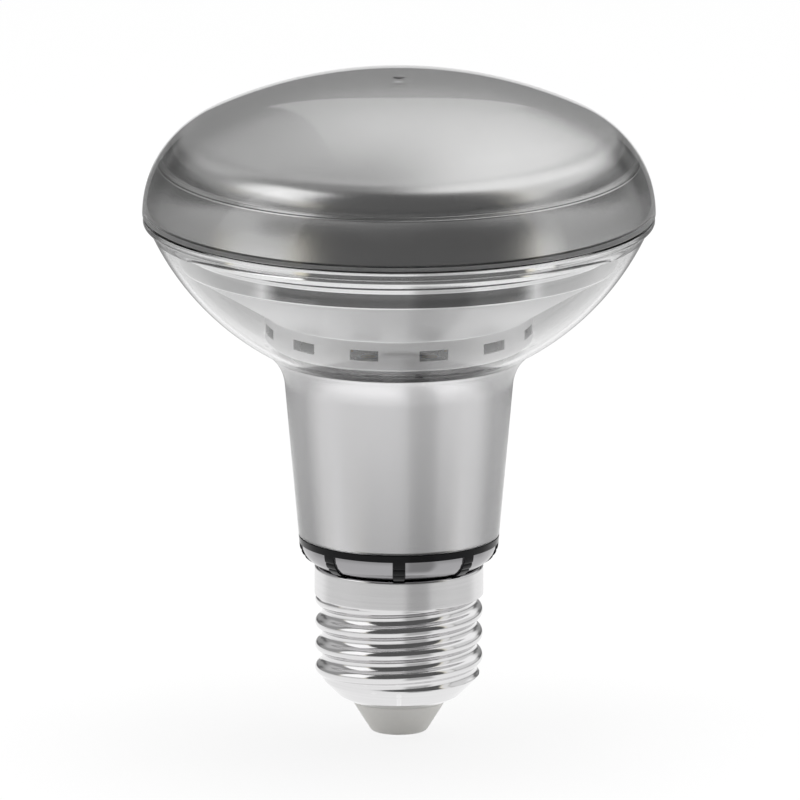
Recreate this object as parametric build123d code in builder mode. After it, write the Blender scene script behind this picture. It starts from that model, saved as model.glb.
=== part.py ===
from build123d import *
from math import atan2, degrees, sqrt
import os

# A reflector lamp with a standard screw cap, in millimetres. The axis is Z, the tip of the
# centre contact is at the origin and the lens looks up. Heights are stacked from the tip.

# From the contact's tip to the top of the lens
lamp_height = 104.85

# Screw cap
contact_proud = 0.5
insulator_drop = 5.0
cone_height = 3.5
cone_bend_radius = 9.5
cone_bend_rise = 1.0
thread_length = 13.1
collar_height = 5.0
collar_radius = 13.15
thread_radius = 12.97
thread_depth = 0.97
thread_pitch = 3.629
thread_turns = 5
thread_run_in = 3.79
ridge_base = 2.9
ridge_crest = 1.0
ridge_sink = 0.25
ridge_trim = 0.05
join_tolerance = 0.001
shell_wall = 0.5
shell_mouth_radius = 7.6
shell_lip = 0.4
collar_break = 0.4

# Insulating tip and centre contact
tip_radius = 4.3
tip_round = 0.9
tip_shoulder = 0.3
plug_radius = 9.0
plug_height = 0.8
contact_radius = 2.3
contact_break = 0.35
contact_shank_radius = 1.0
contact_shank_proud = 0.25

# Adaptor between the cap and the neck
fit_gap = 0.25
adaptor_rise = 4.8
adaptor_band = 1.5
adaptor_wall = 0.8
adaptor_skirt = 11.0
adaptor_tuck = 2.02
tab_count = 8
tab_start = -90
tab_width = 2.4
panel_recess = 0.3
panel_inset = 0.2
cut_reach = 3.0

# Glass bowl and neck, measured on the outer surface, whose line runs on over the adaptor
glass_wall = 0.7
neck_low_rise = 3.4
neck_low_radius = 15.52
neck_corner_radius = 18.16
neck_fillet = 7.5
bowl_radius = 42.6
bowl_height = 21.35
bead_height = 1.25
bead_inset = 0.1
bead_lip = 0.81
bead_break = 0.5
bead_flare = 0.7

# Front lens
rim_radius = 40.0
shoulder_radius = 16.2
lens_height = 21.75
crown_wall = 2.0
face_inset = 5.4
face_draft = 0.4
face_round = 4.0
step_height = 7.2
step_width = 1.3
lens_foot = 3.1
gate_radius = 0.8
gate_height = 0.15

# Reflector
reflector_sheet = 0.5
flange_inset = 1.8
flange_width = 1.5
flange_lap = 0.5
seal_width = 0.9
rim_step_depth = 2.2
mid_step_depth = 4.2
step_inset = 0.9
band_depth = 7.0
vent_collar_radius = 21.0
vent_collar_top = 15.5
vent_collar_height = 4.5
vent_count = 12
vent_width = 5.0
vent_height = 1.6
seat_margin = 0.7
seat_height = 0.3

# Heat sink, LED board and its parts
sink_setback = 0.2
sink_wall = 1.2
sink_plate = 1.6
led_board_margin = 0.4
led_board_thickness = 1.6
led_count = 12
led_ring_radius = 9.6
led_size = 3.0
led_height = 0.7
screw_spacing = 9.6
screw_start = 90
screw_radius = 1.2
screw_length = 4.2
screw_head_radius = 2.2
screw_head_height = 1.4
screw_socket_radius = 1.0
screw_socket_depth = 0.7

# Driver
sleeve_wall = 1.0
sleeve_headroom = 2.8
board_thickness = 1.2
board_headroom = 3.0
edge_gap = 0.3
capacitor_radius = 4.0
capacitor_length = 12.0
capacitor_drop = 2.0
inductor_radius = 4.5
inductor_height = 7.4
inductor_waist = 2.0
inductor_flange = 1.0
inductor_rise = 10.0
film_width = 7.0
film_depth = 5.0
film_length = 9.0
film_rise = 12.0
bridge_width = 5.0
bridge_depth = 2.4
bridge_length = 6.0
bridge_rise = 3.0
chip_width = 4.0
chip_depth = 1.6
chip_length = 5.0
chip_drop = 3.0
fuse_radius = 1.6
fuse_length = 9.0
fuse_rise = 3.0
part_break = 0.4

# Leads
lead_radius = 0.45
lead_hole_radius = 0.8
lead_spacing = 6.0
lead_proud = 0.3
live_lead_length = 6.0
weld_gap = 0.1
neutral_offset = 5.0
neutral_drop = 2.2
neutral_bend = 1.2

# Heights of the joints between the pieces
insulator_low_z = contact_proud
shell_low_z = insulator_low_z + insulator_drop
cone_bend_z = shell_low_z + cone_bend_rise
thread_low_z = shell_low_z + cone_height
collar_low_z = thread_low_z + thread_length
collar_top_z = collar_low_z + collar_height
adaptor_low_z = collar_top_z + fit_gap
neck_low_z = collar_top_z + neck_low_rise
lens_base_z = lamp_height - lens_height
glass_rim_z = lens_base_z - reflector_sheet
bowl_top_z = glass_rim_z - bead_height
neck_corner_z = bowl_top_z - bowl_height
adaptor_top_z = collar_top_z + adaptor_rise
sink_top_z = neck_corner_z - sink_setback
led_board_top_z = sink_top_z + led_board_thickness
sleeve_low_z = adaptor_top_z - adaptor_band
sleeve_top_z = sink_top_z - sink_plate - sleeve_headroom
board_top_z = sink_top_z - sink_plate - board_headroom

# Radii that follow from a fit
thread_root_radius = thread_radius - thread_depth
shell_bore_radius = thread_root_radius - shell_wall
skirt_radius = shell_bore_radius - fit_gap
skirt_bore_radius = skirt_radius - adaptor_wall
sleeve_bore_radius = skirt_bore_radius
sleeve_radius = sleeve_bore_radius + sleeve_wall
insulator_radius = shell_mouth_radius - shell_lip
adaptor_mouth_radius = neck_low_radius - adaptor_tuck
bead_radius = rim_radius - bead_inset
bowl_top_radius = bead_radius - bead_lip
face_radius = rim_radius - face_inset
flange_radius = bead_radius - flange_inset
bead_inner_radius = flange_radius - flange_lap
rim_step_radius = flange_radius - flange_width
mid_step_radius = rim_step_radius - step_inset
band_radius = mid_step_radius - step_inset
neck_taper = (neck_corner_radius - neck_low_radius) / (neck_corner_z - neck_low_z)
board_width = 2 * (skirt_bore_radius - edge_gap)
board_face = board_thickness / 2


def neck_radius(height):
    """Outer radius of the tapered neck at a height."""
    return neck_low_radius + neck_taper * (height - neck_low_z)


def sink_radius(height):
    """Outer radius of the heat sink, which follows the inside of the neck."""
    return neck_radius(height) - glass_wall - fit_gap


# The plug of the insulating tip follows the shell's cone, and carries the contact and the board
lip_slope = cone_bend_rise / (cone_bend_radius - shell_mouth_radius)
plug_low_z = shell_low_z + shell_wall
plug_wide_z = plug_low_z + lip_slope * (plug_radius - insulator_radius)
plug_top_z = plug_wide_z + plug_height
contact_top_z = plug_top_z + contact_shank_proud
board_bottom_z = contact_top_z + live_lead_length

os.makedirs("parts", exist_ok=True)

# The centre contact is a pressed nail: a flat head with a broken edge, and a shank up the tip
with BuildPart() as centre_contact:
    with BuildSketch(Plane.XZ):
        with BuildLine():
            Polyline(
                (0, 0),
                (contact_radius - contact_break, 0),
                (contact_radius, contact_break),
                (contact_radius, contact_proud),
                (contact_shank_radius, contact_proud),
                (contact_shank_radius, contact_top_z),
                (0, contact_top_z),
                close=True,
            )
        make_face()
    revolve(axis=Axis.Z)
centre_contact.part.label = "centre_contact"
export_step(centre_contact.part, "parts/centre_contact.step")

# The insulating tip is a blunt cone under the shell, with a plug that fills the shell's cone
with BuildPart() as cap_insulator:
    with BuildSketch(Plane.XZ):
        with BuildLine():
            Polyline(
                (contact_shank_radius, insulator_low_z),
                (tip_radius, insulator_low_z),
                (insulator_radius, shell_low_z - tip_shoulder),
                (insulator_radius, plug_low_z),
                (plug_radius, plug_wide_z),
                (plug_radius, plug_top_z),
                (contact_shank_radius, plug_top_z),
                close=True,
            )
        tip_face = make_face()
        fillet(tip_face.vertices().sort_by_distance((tip_radius, insulator_low_z))[0], tip_round)
    revolve(axis=Axis.Z)
cap_insulator.part.label = "cap_insulator"
export_step(cap_insulator.part, "parts/cap_insulator.step")

# The thread is a helical ridge that fades in where the shell's cone ends
ridge_centre = thread_radius - thread_depth / 2
cone_slope = (thread_low_z - cone_bend_z) / (thread_root_radius - cone_bend_radius)
with BuildPart() as thread_ridge:
    with BuildLine() as thread_path:
        Helix(
            pitch=thread_pitch,
            height=thread_pitch * thread_turns,
            radius=ridge_centre,
            center=(0, 0, thread_low_z - thread_run_in),
        )
    with BuildSketch(Plane(thread_path.line @ 0, x_dir=(1, 0, 0), z_dir=thread_path.line % 0)):
        with BuildLine():
            Polyline(
                (-thread_depth / 2 - ridge_sink, -ridge_base / 2),
                (-thread_depth / 2, -ridge_base / 2),
                (thread_depth / 2, -ridge_crest / 2),
                (thread_depth / 2, ridge_crest / 2),
                (-thread_depth / 2, ridge_base / 2),
                (-thread_depth / 2 - ridge_sink, ridge_base / 2),
                close=True,
            )
        make_face()
    sweep(path=thread_path.line, is_frenet=True)
    with BuildSketch(Plane.XZ):
        with BuildLine():
            Polyline(
                (0, thread_low_z + cone_slope * (ridge_trim - thread_root_radius)),
                (thread_radius, thread_low_z + cone_slope * (ridge_trim + thread_depth)),
                (thread_radius, collar_low_z + collar_height / 2),
                (0, collar_low_z + collar_height / 2),
                close=True,
            )
        make_face()
    revolve(axis=Axis.Z, mode=Mode.INTERSECT)

# The screw shell: one sheet from a narrow mouth up a bent cone, with a smooth collar at the top
with BuildPart() as plain_shell:
    with BuildSketch(Plane.XZ):
        with BuildLine():
            Polyline(
                (insulator_radius + fit_gap, shell_low_z),
                (shell_mouth_radius, shell_low_z),
                (cone_bend_radius, cone_bend_z),
                (thread_root_radius, thread_low_z),
                (thread_root_radius, collar_top_z),
            )
            offset(amount=shell_wall, side=Side.LEFT)
        make_face()
        with BuildLine():
            Polyline(
                (shell_bore_radius, collar_low_z - collar_break),
                (thread_root_radius, collar_low_z - collar_break),
                (collar_radius, collar_low_z + collar_break),
                (collar_radius, collar_top_z),
                (shell_bore_radius, collar_top_z),
                close=True,
            )
        make_face()
    revolve(axis=Axis.Z)

# The swept ridge only joins cleanly with a tolerance, which a builder has no way to give
threaded_shell = plain_shell.part.fuse(thread_ridge.part, tol=join_tolerance)
with BuildPart() as screw_shell:
    add(threaded_shell)
screw_shell.part.label = "screw_shell"
export_step(screw_shell.part, "parts/screw_shell.step")

# The adaptor: a ring that carries on the neck's line to a rounded foot, with eight tabs between
# shallow panels under a plain band, and a skirt inside the screw shell
neck_end_radius = neck_radius(adaptor_top_z)
neck_direction = (neck_low_radius - neck_end_radius, neck_low_z - adaptor_top_z)
with BuildLine(Plane.XZ) as foot_line:
    foot_arc = TangentArc(
        (neck_low_radius, neck_low_z),
        (adaptor_mouth_radius, adaptor_low_z),
        tangent=neck_direction,
    )
foot_centre_radius = foot_arc.arc_center.X
foot_centre_z = foot_arc.arc_center.Z
panel_top_z = neck_low_z - panel_inset
with BuildPart() as panel_cut:
    with BuildSketch(Plane.XZ):
        with Locations((foot_centre_radius, foot_centre_z)):
            Circle(foot_arc.radius + cut_reach)
            Circle(foot_arc.radius - panel_recess, mode=Mode.SUBTRACT)
        with Locations((foot_centre_radius, panel_top_z)):
            Rectangle(
                2 * neck_low_radius,
                panel_top_z - adaptor_low_z + cut_reach,
                align=(Align.MIN, Align.MAX),
                mode=Mode.INTERSECT,
            )
    revolve(axis=Axis.Z)
    with BuildSketch(Plane.XY.offset(panel_top_z)):
        with PolarLocations(neck_low_radius, tab_count, start_angle=tab_start):
            Rectangle(4 * cut_reach, tab_width)
    extrude(amount=foot_arc.radius + 2 * cut_reach, both=True, mode=Mode.SUBTRACT)

with BuildPart() as cap_adaptor:
    with BuildSketch(Plane.XZ):
        with BuildLine():
            TangentArc(
                (neck_low_radius, neck_low_z),
                (adaptor_mouth_radius, adaptor_low_z),
                tangent=neck_direction,
            )
            Polyline(
                (adaptor_mouth_radius, adaptor_low_z),
                (skirt_radius, adaptor_low_z),
                (skirt_radius, collar_top_z - adaptor_skirt),
                (skirt_bore_radius, collar_top_z - adaptor_skirt),
                (skirt_bore_radius, sleeve_low_z),
                (sleeve_radius + fit_gap, sleeve_low_z),
                (sleeve_radius + fit_gap, adaptor_top_z),
                (neck_end_radius, adaptor_top_z),
                (neck_low_radius, neck_low_z),
            )
        make_face()
    revolve(axis=Axis.Z)
    add(panel_cut.part, mode=Mode.SUBTRACT)
cap_adaptor.part.label = "cap_adaptor"
export_step(cap_adaptor.part, "parts/cap_adaptor.step")

# The glass body: one outer line from the rim to the neck's end on the adaptor, given its wall
# inwards, with a rolled bead round the rim
with BuildPart() as glass_body:
    with BuildSketch(Plane.XZ):
        with BuildLine() as glass_line:
            RadiusArc(
                (bowl_top_radius, bowl_top_z),
                (neck_corner_radius, neck_corner_z),
                bowl_radius,
            )
            Line((neck_corner_radius, neck_corner_z), (neck_end_radius, adaptor_top_z))
            corner = glass_line.vertices().sort_by_distance((neck_corner_radius, neck_corner_z))[0]
            fillet(corner, neck_fillet)
            offset(amount=glass_wall, side=Side.RIGHT)
        make_face()
        with BuildLine():
            Polyline(
                (bead_inner_radius, bowl_top_z),
                (bowl_top_radius, bowl_top_z),
                (bead_radius, bowl_top_z + bead_flare),
                (bead_radius, glass_rim_z - bead_break),
                (bead_radius - bead_break, glass_rim_z),
                (bead_inner_radius, glass_rim_z),
                close=True,
            )
        make_face()
    revolve(axis=Axis.Z)
glass_body.part.label = "glass_body"
export_step(glass_body.part, "parts/glass_body.step")

# The front lens: a domed outside with a moulding gate at the top, and a satin inside with a
# step round its face
crown_span = rim_radius - shoulder_radius
crown_square = crown_span**2 + lens_height**2 - shoulder_radius**2
crown_radius = crown_square / (2 * (lens_height - shoulder_radius))
crown_centre_z = lens_base_z + lens_height - crown_radius
crown_angle = degrees(atan2(lens_base_z - crown_centre_z, crown_span))
face_crown_radius = crown_radius - crown_wall
face_edge_z = crown_centre_z + sqrt(face_crown_radius**2 - face_radius**2)
face_angle = degrees(atan2(face_edge_z - crown_centre_z, face_radius))
step_z = lens_base_z + step_height
step_radius = face_radius + face_draft
with BuildPart() as front_lens:
    with BuildSketch(Plane.XZ):
        with BuildLine():
            shoulder = CenterArc((crown_span, lens_base_z), shoulder_radius, 0, crown_angle)
            crown = CenterArc((0, crown_centre_z), crown_radius, crown_angle, 90 - crown_angle)
            face = CenterArc((0, crown_centre_z), face_crown_radius, 90, face_angle - 90)
            Line(crown @ 1, face @ 0)
            Polyline(
                face @ 1,
                (step_radius, step_z),
                (step_radius + step_width, step_z),
                (rim_radius - lens_foot, lens_base_z),
                shoulder @ 0,
            )
        lens_face = make_face()
        fillet(lens_face.vertices().sort_by_distance((face_radius, face_edge_z))[0], face_round)
    revolve(axis=Axis.Z)
    with Locations((0, 0, lens_base_z + lens_height)):
        Cylinder(gate_radius, 2 * gate_height)
front_lens.part.label = "front_lens"
export_step(front_lens.part, "parts/front_lens.step")

# The seal fills the outer part of the seam, beside the reflector's flange
with BuildPart() as rim_seal:
    with BuildSketch(Plane.XY.offset(glass_rim_z)):
        Circle(flange_radius + seal_width)
        Circle(flange_radius + fit_gap, mode=Mode.SUBTRACT)
    extrude(amount=reflector_sheet)
rim_seal.part.label = "rim_seal"
export_step(rim_seal.part, "parts/rim_seal.step")

# The reflector: one spun sheet with a flange, a stepped rim, a mirror band, the cone, a slotted
# collar and a seat on the LED board
sink_low_radius = sink_radius(adaptor_top_z)
sink_high_radius = sink_radius(sink_top_z)
led_board_radius = sink_high_radius - led_board_margin
seat_radius = led_board_radius - seat_margin
vent_collar_low = vent_collar_top + vent_collar_height
reflector_outline = [
    (flange_radius, 0),
    (flange_radius, reflector_sheet),
    (rim_step_radius, reflector_sheet),
    (rim_step_radius, rim_step_depth),
    (mid_step_radius, rim_step_depth + step_inset),
    (mid_step_radius, mid_step_depth),
    (band_radius, mid_step_depth + step_inset),
    (band_radius, band_depth),
    (vent_collar_radius, vent_collar_top),
    (vent_collar_radius, vent_collar_low),
    (seat_radius, lens_base_z - led_board_top_z - seat_height),
    (seat_radius, lens_base_z - led_board_top_z),
    (seat_radius - reflector_sheet, lens_base_z - led_board_top_z),
    (seat_radius - reflector_sheet, lens_base_z - led_board_top_z - seat_height),
    (vent_collar_radius - reflector_sheet, vent_collar_low),
    (vent_collar_radius - reflector_sheet, vent_collar_top),
    (band_radius - reflector_sheet, band_depth),
    (band_radius - reflector_sheet, 0),
]
with BuildPart() as reflector:
    with BuildSketch(Plane.XZ):
        with BuildLine():
            Polyline([(radius, lens_base_z - depth) for radius, depth in reflector_outline], close=True)
        make_face()
    revolve(axis=Axis.Z)
    vent_z = lens_base_z - vent_collar_top - vent_collar_height / 2
    with Locations((0, 0, vent_z)):
        with PolarLocations(vent_collar_radius, vent_count, start_angle=180 / vent_count):
            Box(cut_reach, vent_width, vent_height, mode=Mode.SUBTRACT)
reflector.part.label = "reflector"
export_step(reflector.part, "parts/reflector.step")

# The heat sink: a tapered cup, mouth down, with a plate that carries the LED board
with BuildPart() as heat_sink:
    with BuildSketch(Plane.XZ):
        with BuildLine():
            Polyline(
                (0, sink_top_z),
                (sink_high_radius, sink_top_z),
                (sink_low_radius, adaptor_top_z),
                (sink_low_radius - sink_wall, adaptor_top_z),
                (sink_high_radius - sink_wall, sink_top_z - sink_plate),
                (0, sink_top_z - sink_plate),
                close=True,
            )
        make_face()
    revolve(axis=Axis.Z)
    with Locations((0, 0, sink_top_z)):
        with PolarLocations(screw_spacing / 2, 2, start_angle=screw_start):
            Hole(screw_radius + fit_gap)
        with PolarLocations(lead_spacing / 2, 2):
            Hole(lead_hole_radius)
heat_sink.part.label = "heat_sink"
export_step(heat_sink.part, "parts/heat_sink.step")

# The LED board lies on the heat sink, and the LEDs stand in a ring on it
with BuildPart() as led_board:
    with BuildSketch(Plane.XY.offset(sink_top_z)):
        Circle(led_board_radius)
        with PolarLocations(screw_spacing / 2, 2, start_angle=screw_start):
            Circle(screw_radius + fit_gap, mode=Mode.SUBTRACT)
        with PolarLocations(lead_spacing / 2, 2):
            Circle(lead_hole_radius, mode=Mode.SUBTRACT)
    extrude(amount=led_board_thickness)
led_board.part.label = "led_board"
export_step(led_board.part, "parts/led_board.step")

with BuildPart() as led_packages:
    with BuildSketch(Plane.XY.offset(led_board_top_z)):
        with PolarLocations(led_ring_radius, led_count):
            Rectangle(led_size, led_size)
    extrude(amount=led_height)
led_packages.part.label = "led_packages"
export_step(led_packages.part, "parts/led_packages.step")

upwards = (Align.CENTER, Align.CENTER, Align.MIN)
downwards = (Align.CENTER, Align.CENTER, Align.MAX)
with BuildPart() as board_screws:
    with PolarLocations(screw_spacing / 2, 2, start_angle=screw_start):
        with Locations((0, 0, led_board_top_z)):
            Cylinder(screw_head_radius, screw_head_height, align=upwards)
            Cylinder(screw_radius, screw_length, align=downwards)
        with Locations((0, 0, led_board_top_z + screw_head_height)):
            Cylinder(screw_socket_radius, screw_socket_depth, align=downwards, mode=Mode.SUBTRACT)
board_screws.part.label = "board_screws"
export_step(board_screws.part, "parts/board_screws.step")

# The driver: an insulating sleeve on the adaptor's ledge, and a board that stands in it
with BuildPart() as driver_sleeve:
    with BuildSketch(Plane.XY.offset(sleeve_low_z)):
        Circle(sleeve_radius)
        Circle(sleeve_bore_radius, mode=Mode.SUBTRACT)
    extrude(amount=sleeve_top_z - sleeve_low_z)
driver_sleeve.part.label = "driver_sleeve"
export_step(driver_sleeve.part, "parts/driver_sleeve.step")

with BuildPart() as driver_board:
    with BuildSketch(Plane.XY.offset(board_bottom_z)):
        Rectangle(board_width, board_thickness)
    extrude(amount=board_top_z - board_bottom_z)
driver_board.part.label = "driver_board"
export_step(driver_board.part, "parts/driver_board.step")

# Front of the board: the input capacitor lies along it, the inductor stands on it
with BuildPart() as input_capacitor:
    with BuildSketch(Plane.XY.offset(board_top_z - capacitor_drop - capacitor_length)):
        with Locations((0, -board_face - capacitor_radius)):
            Circle(capacitor_radius)
    extrude(amount=capacitor_length)
    chamfer(input_capacitor.edges().filter_by(GeomType.CIRCLE), part_break)
input_capacitor.part.label = "input_capacitor"
export_step(input_capacitor.part, "parts/input_capacitor.step")

inductor_plane = Plane((0, -board_face, board_bottom_z + inductor_rise), z_dir=(0, -1, 0))
winding_plane = inductor_plane.offset(inductor_flange)
winding_height = inductor_height - 2 * inductor_flange
with BuildPart() as inductor_core:
    with BuildSketch(inductor_plane):
        Circle(inductor_radius)
    extrude(amount=inductor_height)
    with BuildSketch(winding_plane):
        Circle(inductor_radius)
        Circle(inductor_waist, mode=Mode.SUBTRACT)
    extrude(amount=winding_height, mode=Mode.SUBTRACT)
inductor_core.part.label = "inductor_core"
export_step(inductor_core.part, "parts/inductor_core.step")

with BuildPart() as inductor_winding:
    with BuildSketch(winding_plane):
        Circle(inductor_radius - part_break)
        Circle(inductor_waist, mode=Mode.SUBTRACT)
    extrude(amount=winding_height)
inductor_winding.part.label = "inductor_winding"
export_step(inductor_winding.part, "parts/inductor_winding.step")

# The fuse resistor lies across the foot of the board
fuse_start = (-fuse_length / 2, -board_face - fuse_radius, board_bottom_z + fuse_rise)
fuse_plane = Plane(fuse_start, z_dir=(1, 0, 0))
with BuildPart() as fuse_resistor:
    with BuildSketch(fuse_plane):
        Circle(fuse_radius)
    extrude(amount=fuse_length)
    chamfer(fuse_resistor.edges().filter_by(GeomType.CIRCLE), part_break)
fuse_resistor.part.label = "fuse_resistor"
export_step(fuse_resistor.part, "parts/fuse_resistor.step")

# Back of the board: the film capacitor, the bridge rectifier and the driver chip
back_align = (Align.CENTER, Align.MIN, Align.MIN)
with BuildPart() as film_capacitor:
    with Locations((0, board_face, board_bottom_z + film_rise)):
        Box(film_width, film_depth, film_length, align=back_align)
    chamfer(film_capacitor.faces().sort_by(Axis.Y)[-1].edges(), part_break)
film_capacitor.part.label = "film_capacitor"
export_step(film_capacitor.part, "parts/film_capacitor.step")

with BuildPart() as bridge_rectifier:
    with Locations((0, board_face, board_bottom_z + bridge_rise)):
        Box(bridge_width, bridge_depth, bridge_length, align=back_align)
    chamfer(bridge_rectifier.faces().sort_by(Axis.Y)[-1].edges(), part_break)
bridge_rectifier.part.label = "bridge_rectifier"
export_step(bridge_rectifier.part, "parts/bridge_rectifier.step")

with BuildPart() as driver_chip:
    with Locations((0, board_face, board_top_z - chip_drop - chip_length)):
        Box(chip_width, chip_depth, chip_length, align=back_align)
    chamfer(driver_chip.faces().sort_by(Axis.Y)[-1].edges(), part_break)
driver_chip.part.label = "driver_chip"
export_step(driver_chip.part, "parts/driver_chip.step")

# The live lead joins the contact's shank to the foot of the board
with BuildPart() as live_lead:
    with BuildSketch(Plane.XY.offset(contact_top_z)):
        Circle(lead_radius)
    extrude(amount=live_lead_length)
live_lead.part.label = "live_lead"
export_step(live_lead.part, "parts/live_lead.step")

# The neutral lead leaves the foot of the board and turns out to the bore of the screw shell
neutral_low_z = board_bottom_z - neutral_drop
with BuildPart() as neutral_lead:
    with BuildLine() as neutral_path:
        FilletPolyline(
            (neutral_offset, 0, board_bottom_z),
            (neutral_offset, 0, neutral_low_z),
            (shell_bore_radius - weld_gap, 0, neutral_low_z),
            radius=neutral_bend,
        )
    with BuildSketch(Plane(neutral_path.line @ 0, z_dir=neutral_path.line % 0)):
        Circle(lead_radius)
    sweep(path=neutral_path.line)
neutral_lead.part.label = "neutral_lead"
export_step(neutral_lead.part, "parts/neutral_lead.step")

# Two leads rise from the head of the board through the heat sink to the top of the LED board
lead_top_z = led_board_top_z + lead_proud
for lead_name, side in (("led_lead_positive", 1), ("led_lead_negative", -1)):
    with BuildPart() as led_lead:
        with BuildSketch(Plane.XY.offset(board_top_z)):
            with Locations((side * lead_spacing / 2, 0)):
                Circle(lead_radius)
        extrude(amount=lead_top_z - board_top_z)
    led_lead.part.label = lead_name
    export_step(led_lead.part, f"parts/{lead_name}.step")
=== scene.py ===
"""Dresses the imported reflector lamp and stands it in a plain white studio."""

import logging
import math
from collections.abc import Callable, Sequence
from dataclasses import dataclass, field
from enum import Enum
from typing import Any

import bmesh
import bpy
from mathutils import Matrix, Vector


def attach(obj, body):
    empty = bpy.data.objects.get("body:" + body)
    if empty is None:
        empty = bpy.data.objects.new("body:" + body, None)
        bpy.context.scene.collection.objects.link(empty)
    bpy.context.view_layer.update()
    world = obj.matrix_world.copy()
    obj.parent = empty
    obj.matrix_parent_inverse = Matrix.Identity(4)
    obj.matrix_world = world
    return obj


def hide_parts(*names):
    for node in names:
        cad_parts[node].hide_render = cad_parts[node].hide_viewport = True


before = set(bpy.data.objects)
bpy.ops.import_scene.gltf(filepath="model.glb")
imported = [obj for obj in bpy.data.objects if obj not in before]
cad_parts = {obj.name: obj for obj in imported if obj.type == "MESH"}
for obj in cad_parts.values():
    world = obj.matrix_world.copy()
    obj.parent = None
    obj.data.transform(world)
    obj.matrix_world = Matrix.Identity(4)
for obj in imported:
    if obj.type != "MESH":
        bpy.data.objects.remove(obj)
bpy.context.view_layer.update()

MM = 0.001
FULL_TURN = 2.0 * math.pi
DEGREES = 180.0 / math.pi
LAMP_BODY = "root"

# A distance that counts as none, and the slack between a size and the points that reach it, in mm
TINY = 1e-6
SLACK = 0.01

# Soft edge of a border inside a finish, in metres
BORDER = 1e-4

Point = tuple[float, float]
Corner = tuple[float, float, float]
Colour = tuple[float, float, float]

WHITE: Colour = (1.0, 1.0, 1.0)
BLACK: Colour = (0.0, 0.0, 0.0)

log = logging.getLogger("reflector_lamp")


class Value:
    """A socket that carries a number, with arithmetic that adds Math nodes."""

    def __init__(self, tree: "ShaderTree", socket: bpy.types.NodeSocket) -> None:
        """Keeps the tree and the socket."""
        self.tree = tree
        self.socket = socket

    def __add__(self, other: "Number") -> "Value":
        """Sum."""
        return self.tree.math("ADD", self, other)

    def __sub__(self, other: "Number") -> "Value":
        """Difference."""
        return self.tree.math("SUBTRACT", self, other)

    def __rsub__(self, other: "Number") -> "Value":
        """Difference, from a plain number."""
        return self.tree.math("SUBTRACT", other, self)

    def __mul__(self, other: "Number") -> "Value":
        """Product."""
        return self.tree.math("MULTIPLY", self, other)

    def __neg__(self) -> "Value":
        """Opposite."""
        return self.tree.math("MULTIPLY", self, -1.0)

    def __abs__(self) -> "Value":
        """Size without sign."""
        return self.tree.math("ABSOLUTE", self)

    __radd__ = __add__
    __rmul__ = __mul__

    def call(self, operation: str, *others: "Number") -> "Value":
        """Any other Math operation on this value."""
        return self.tree.math(operation, self, *others)

    def rise(self, low: float, high: float) -> "Value":
        """Smooth step from 0 at low to 1 at high; low may be the larger.

        Args:
            low: Where the step starts.
            high: Where it ends.

        Returns:
            The step, held to 0 and 1 outside.
        """
        node = self.tree.add(
            "ShaderNodeMapRange",
            {"interpolation_type": "SMOOTHSTEP"},
            {"Value": self, "From Min": low, "From Max": high},
        )
        return Value(self.tree, node.outputs["Result"])

    def band(self, low: float, high: float, soft: float) -> "Value":
        """One between two limits, fading to zero over a soft edge outside them."""
        return self.rise(low - soft, low) * self.rise(high + soft, high)

    def wrapped(self, step: float) -> "Value":
        """Difference from the nearest whole number of steps."""
        return (self + step / 2.0).call("WRAP", step, 0.0) - step / 2.0


Number = Value | float


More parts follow.
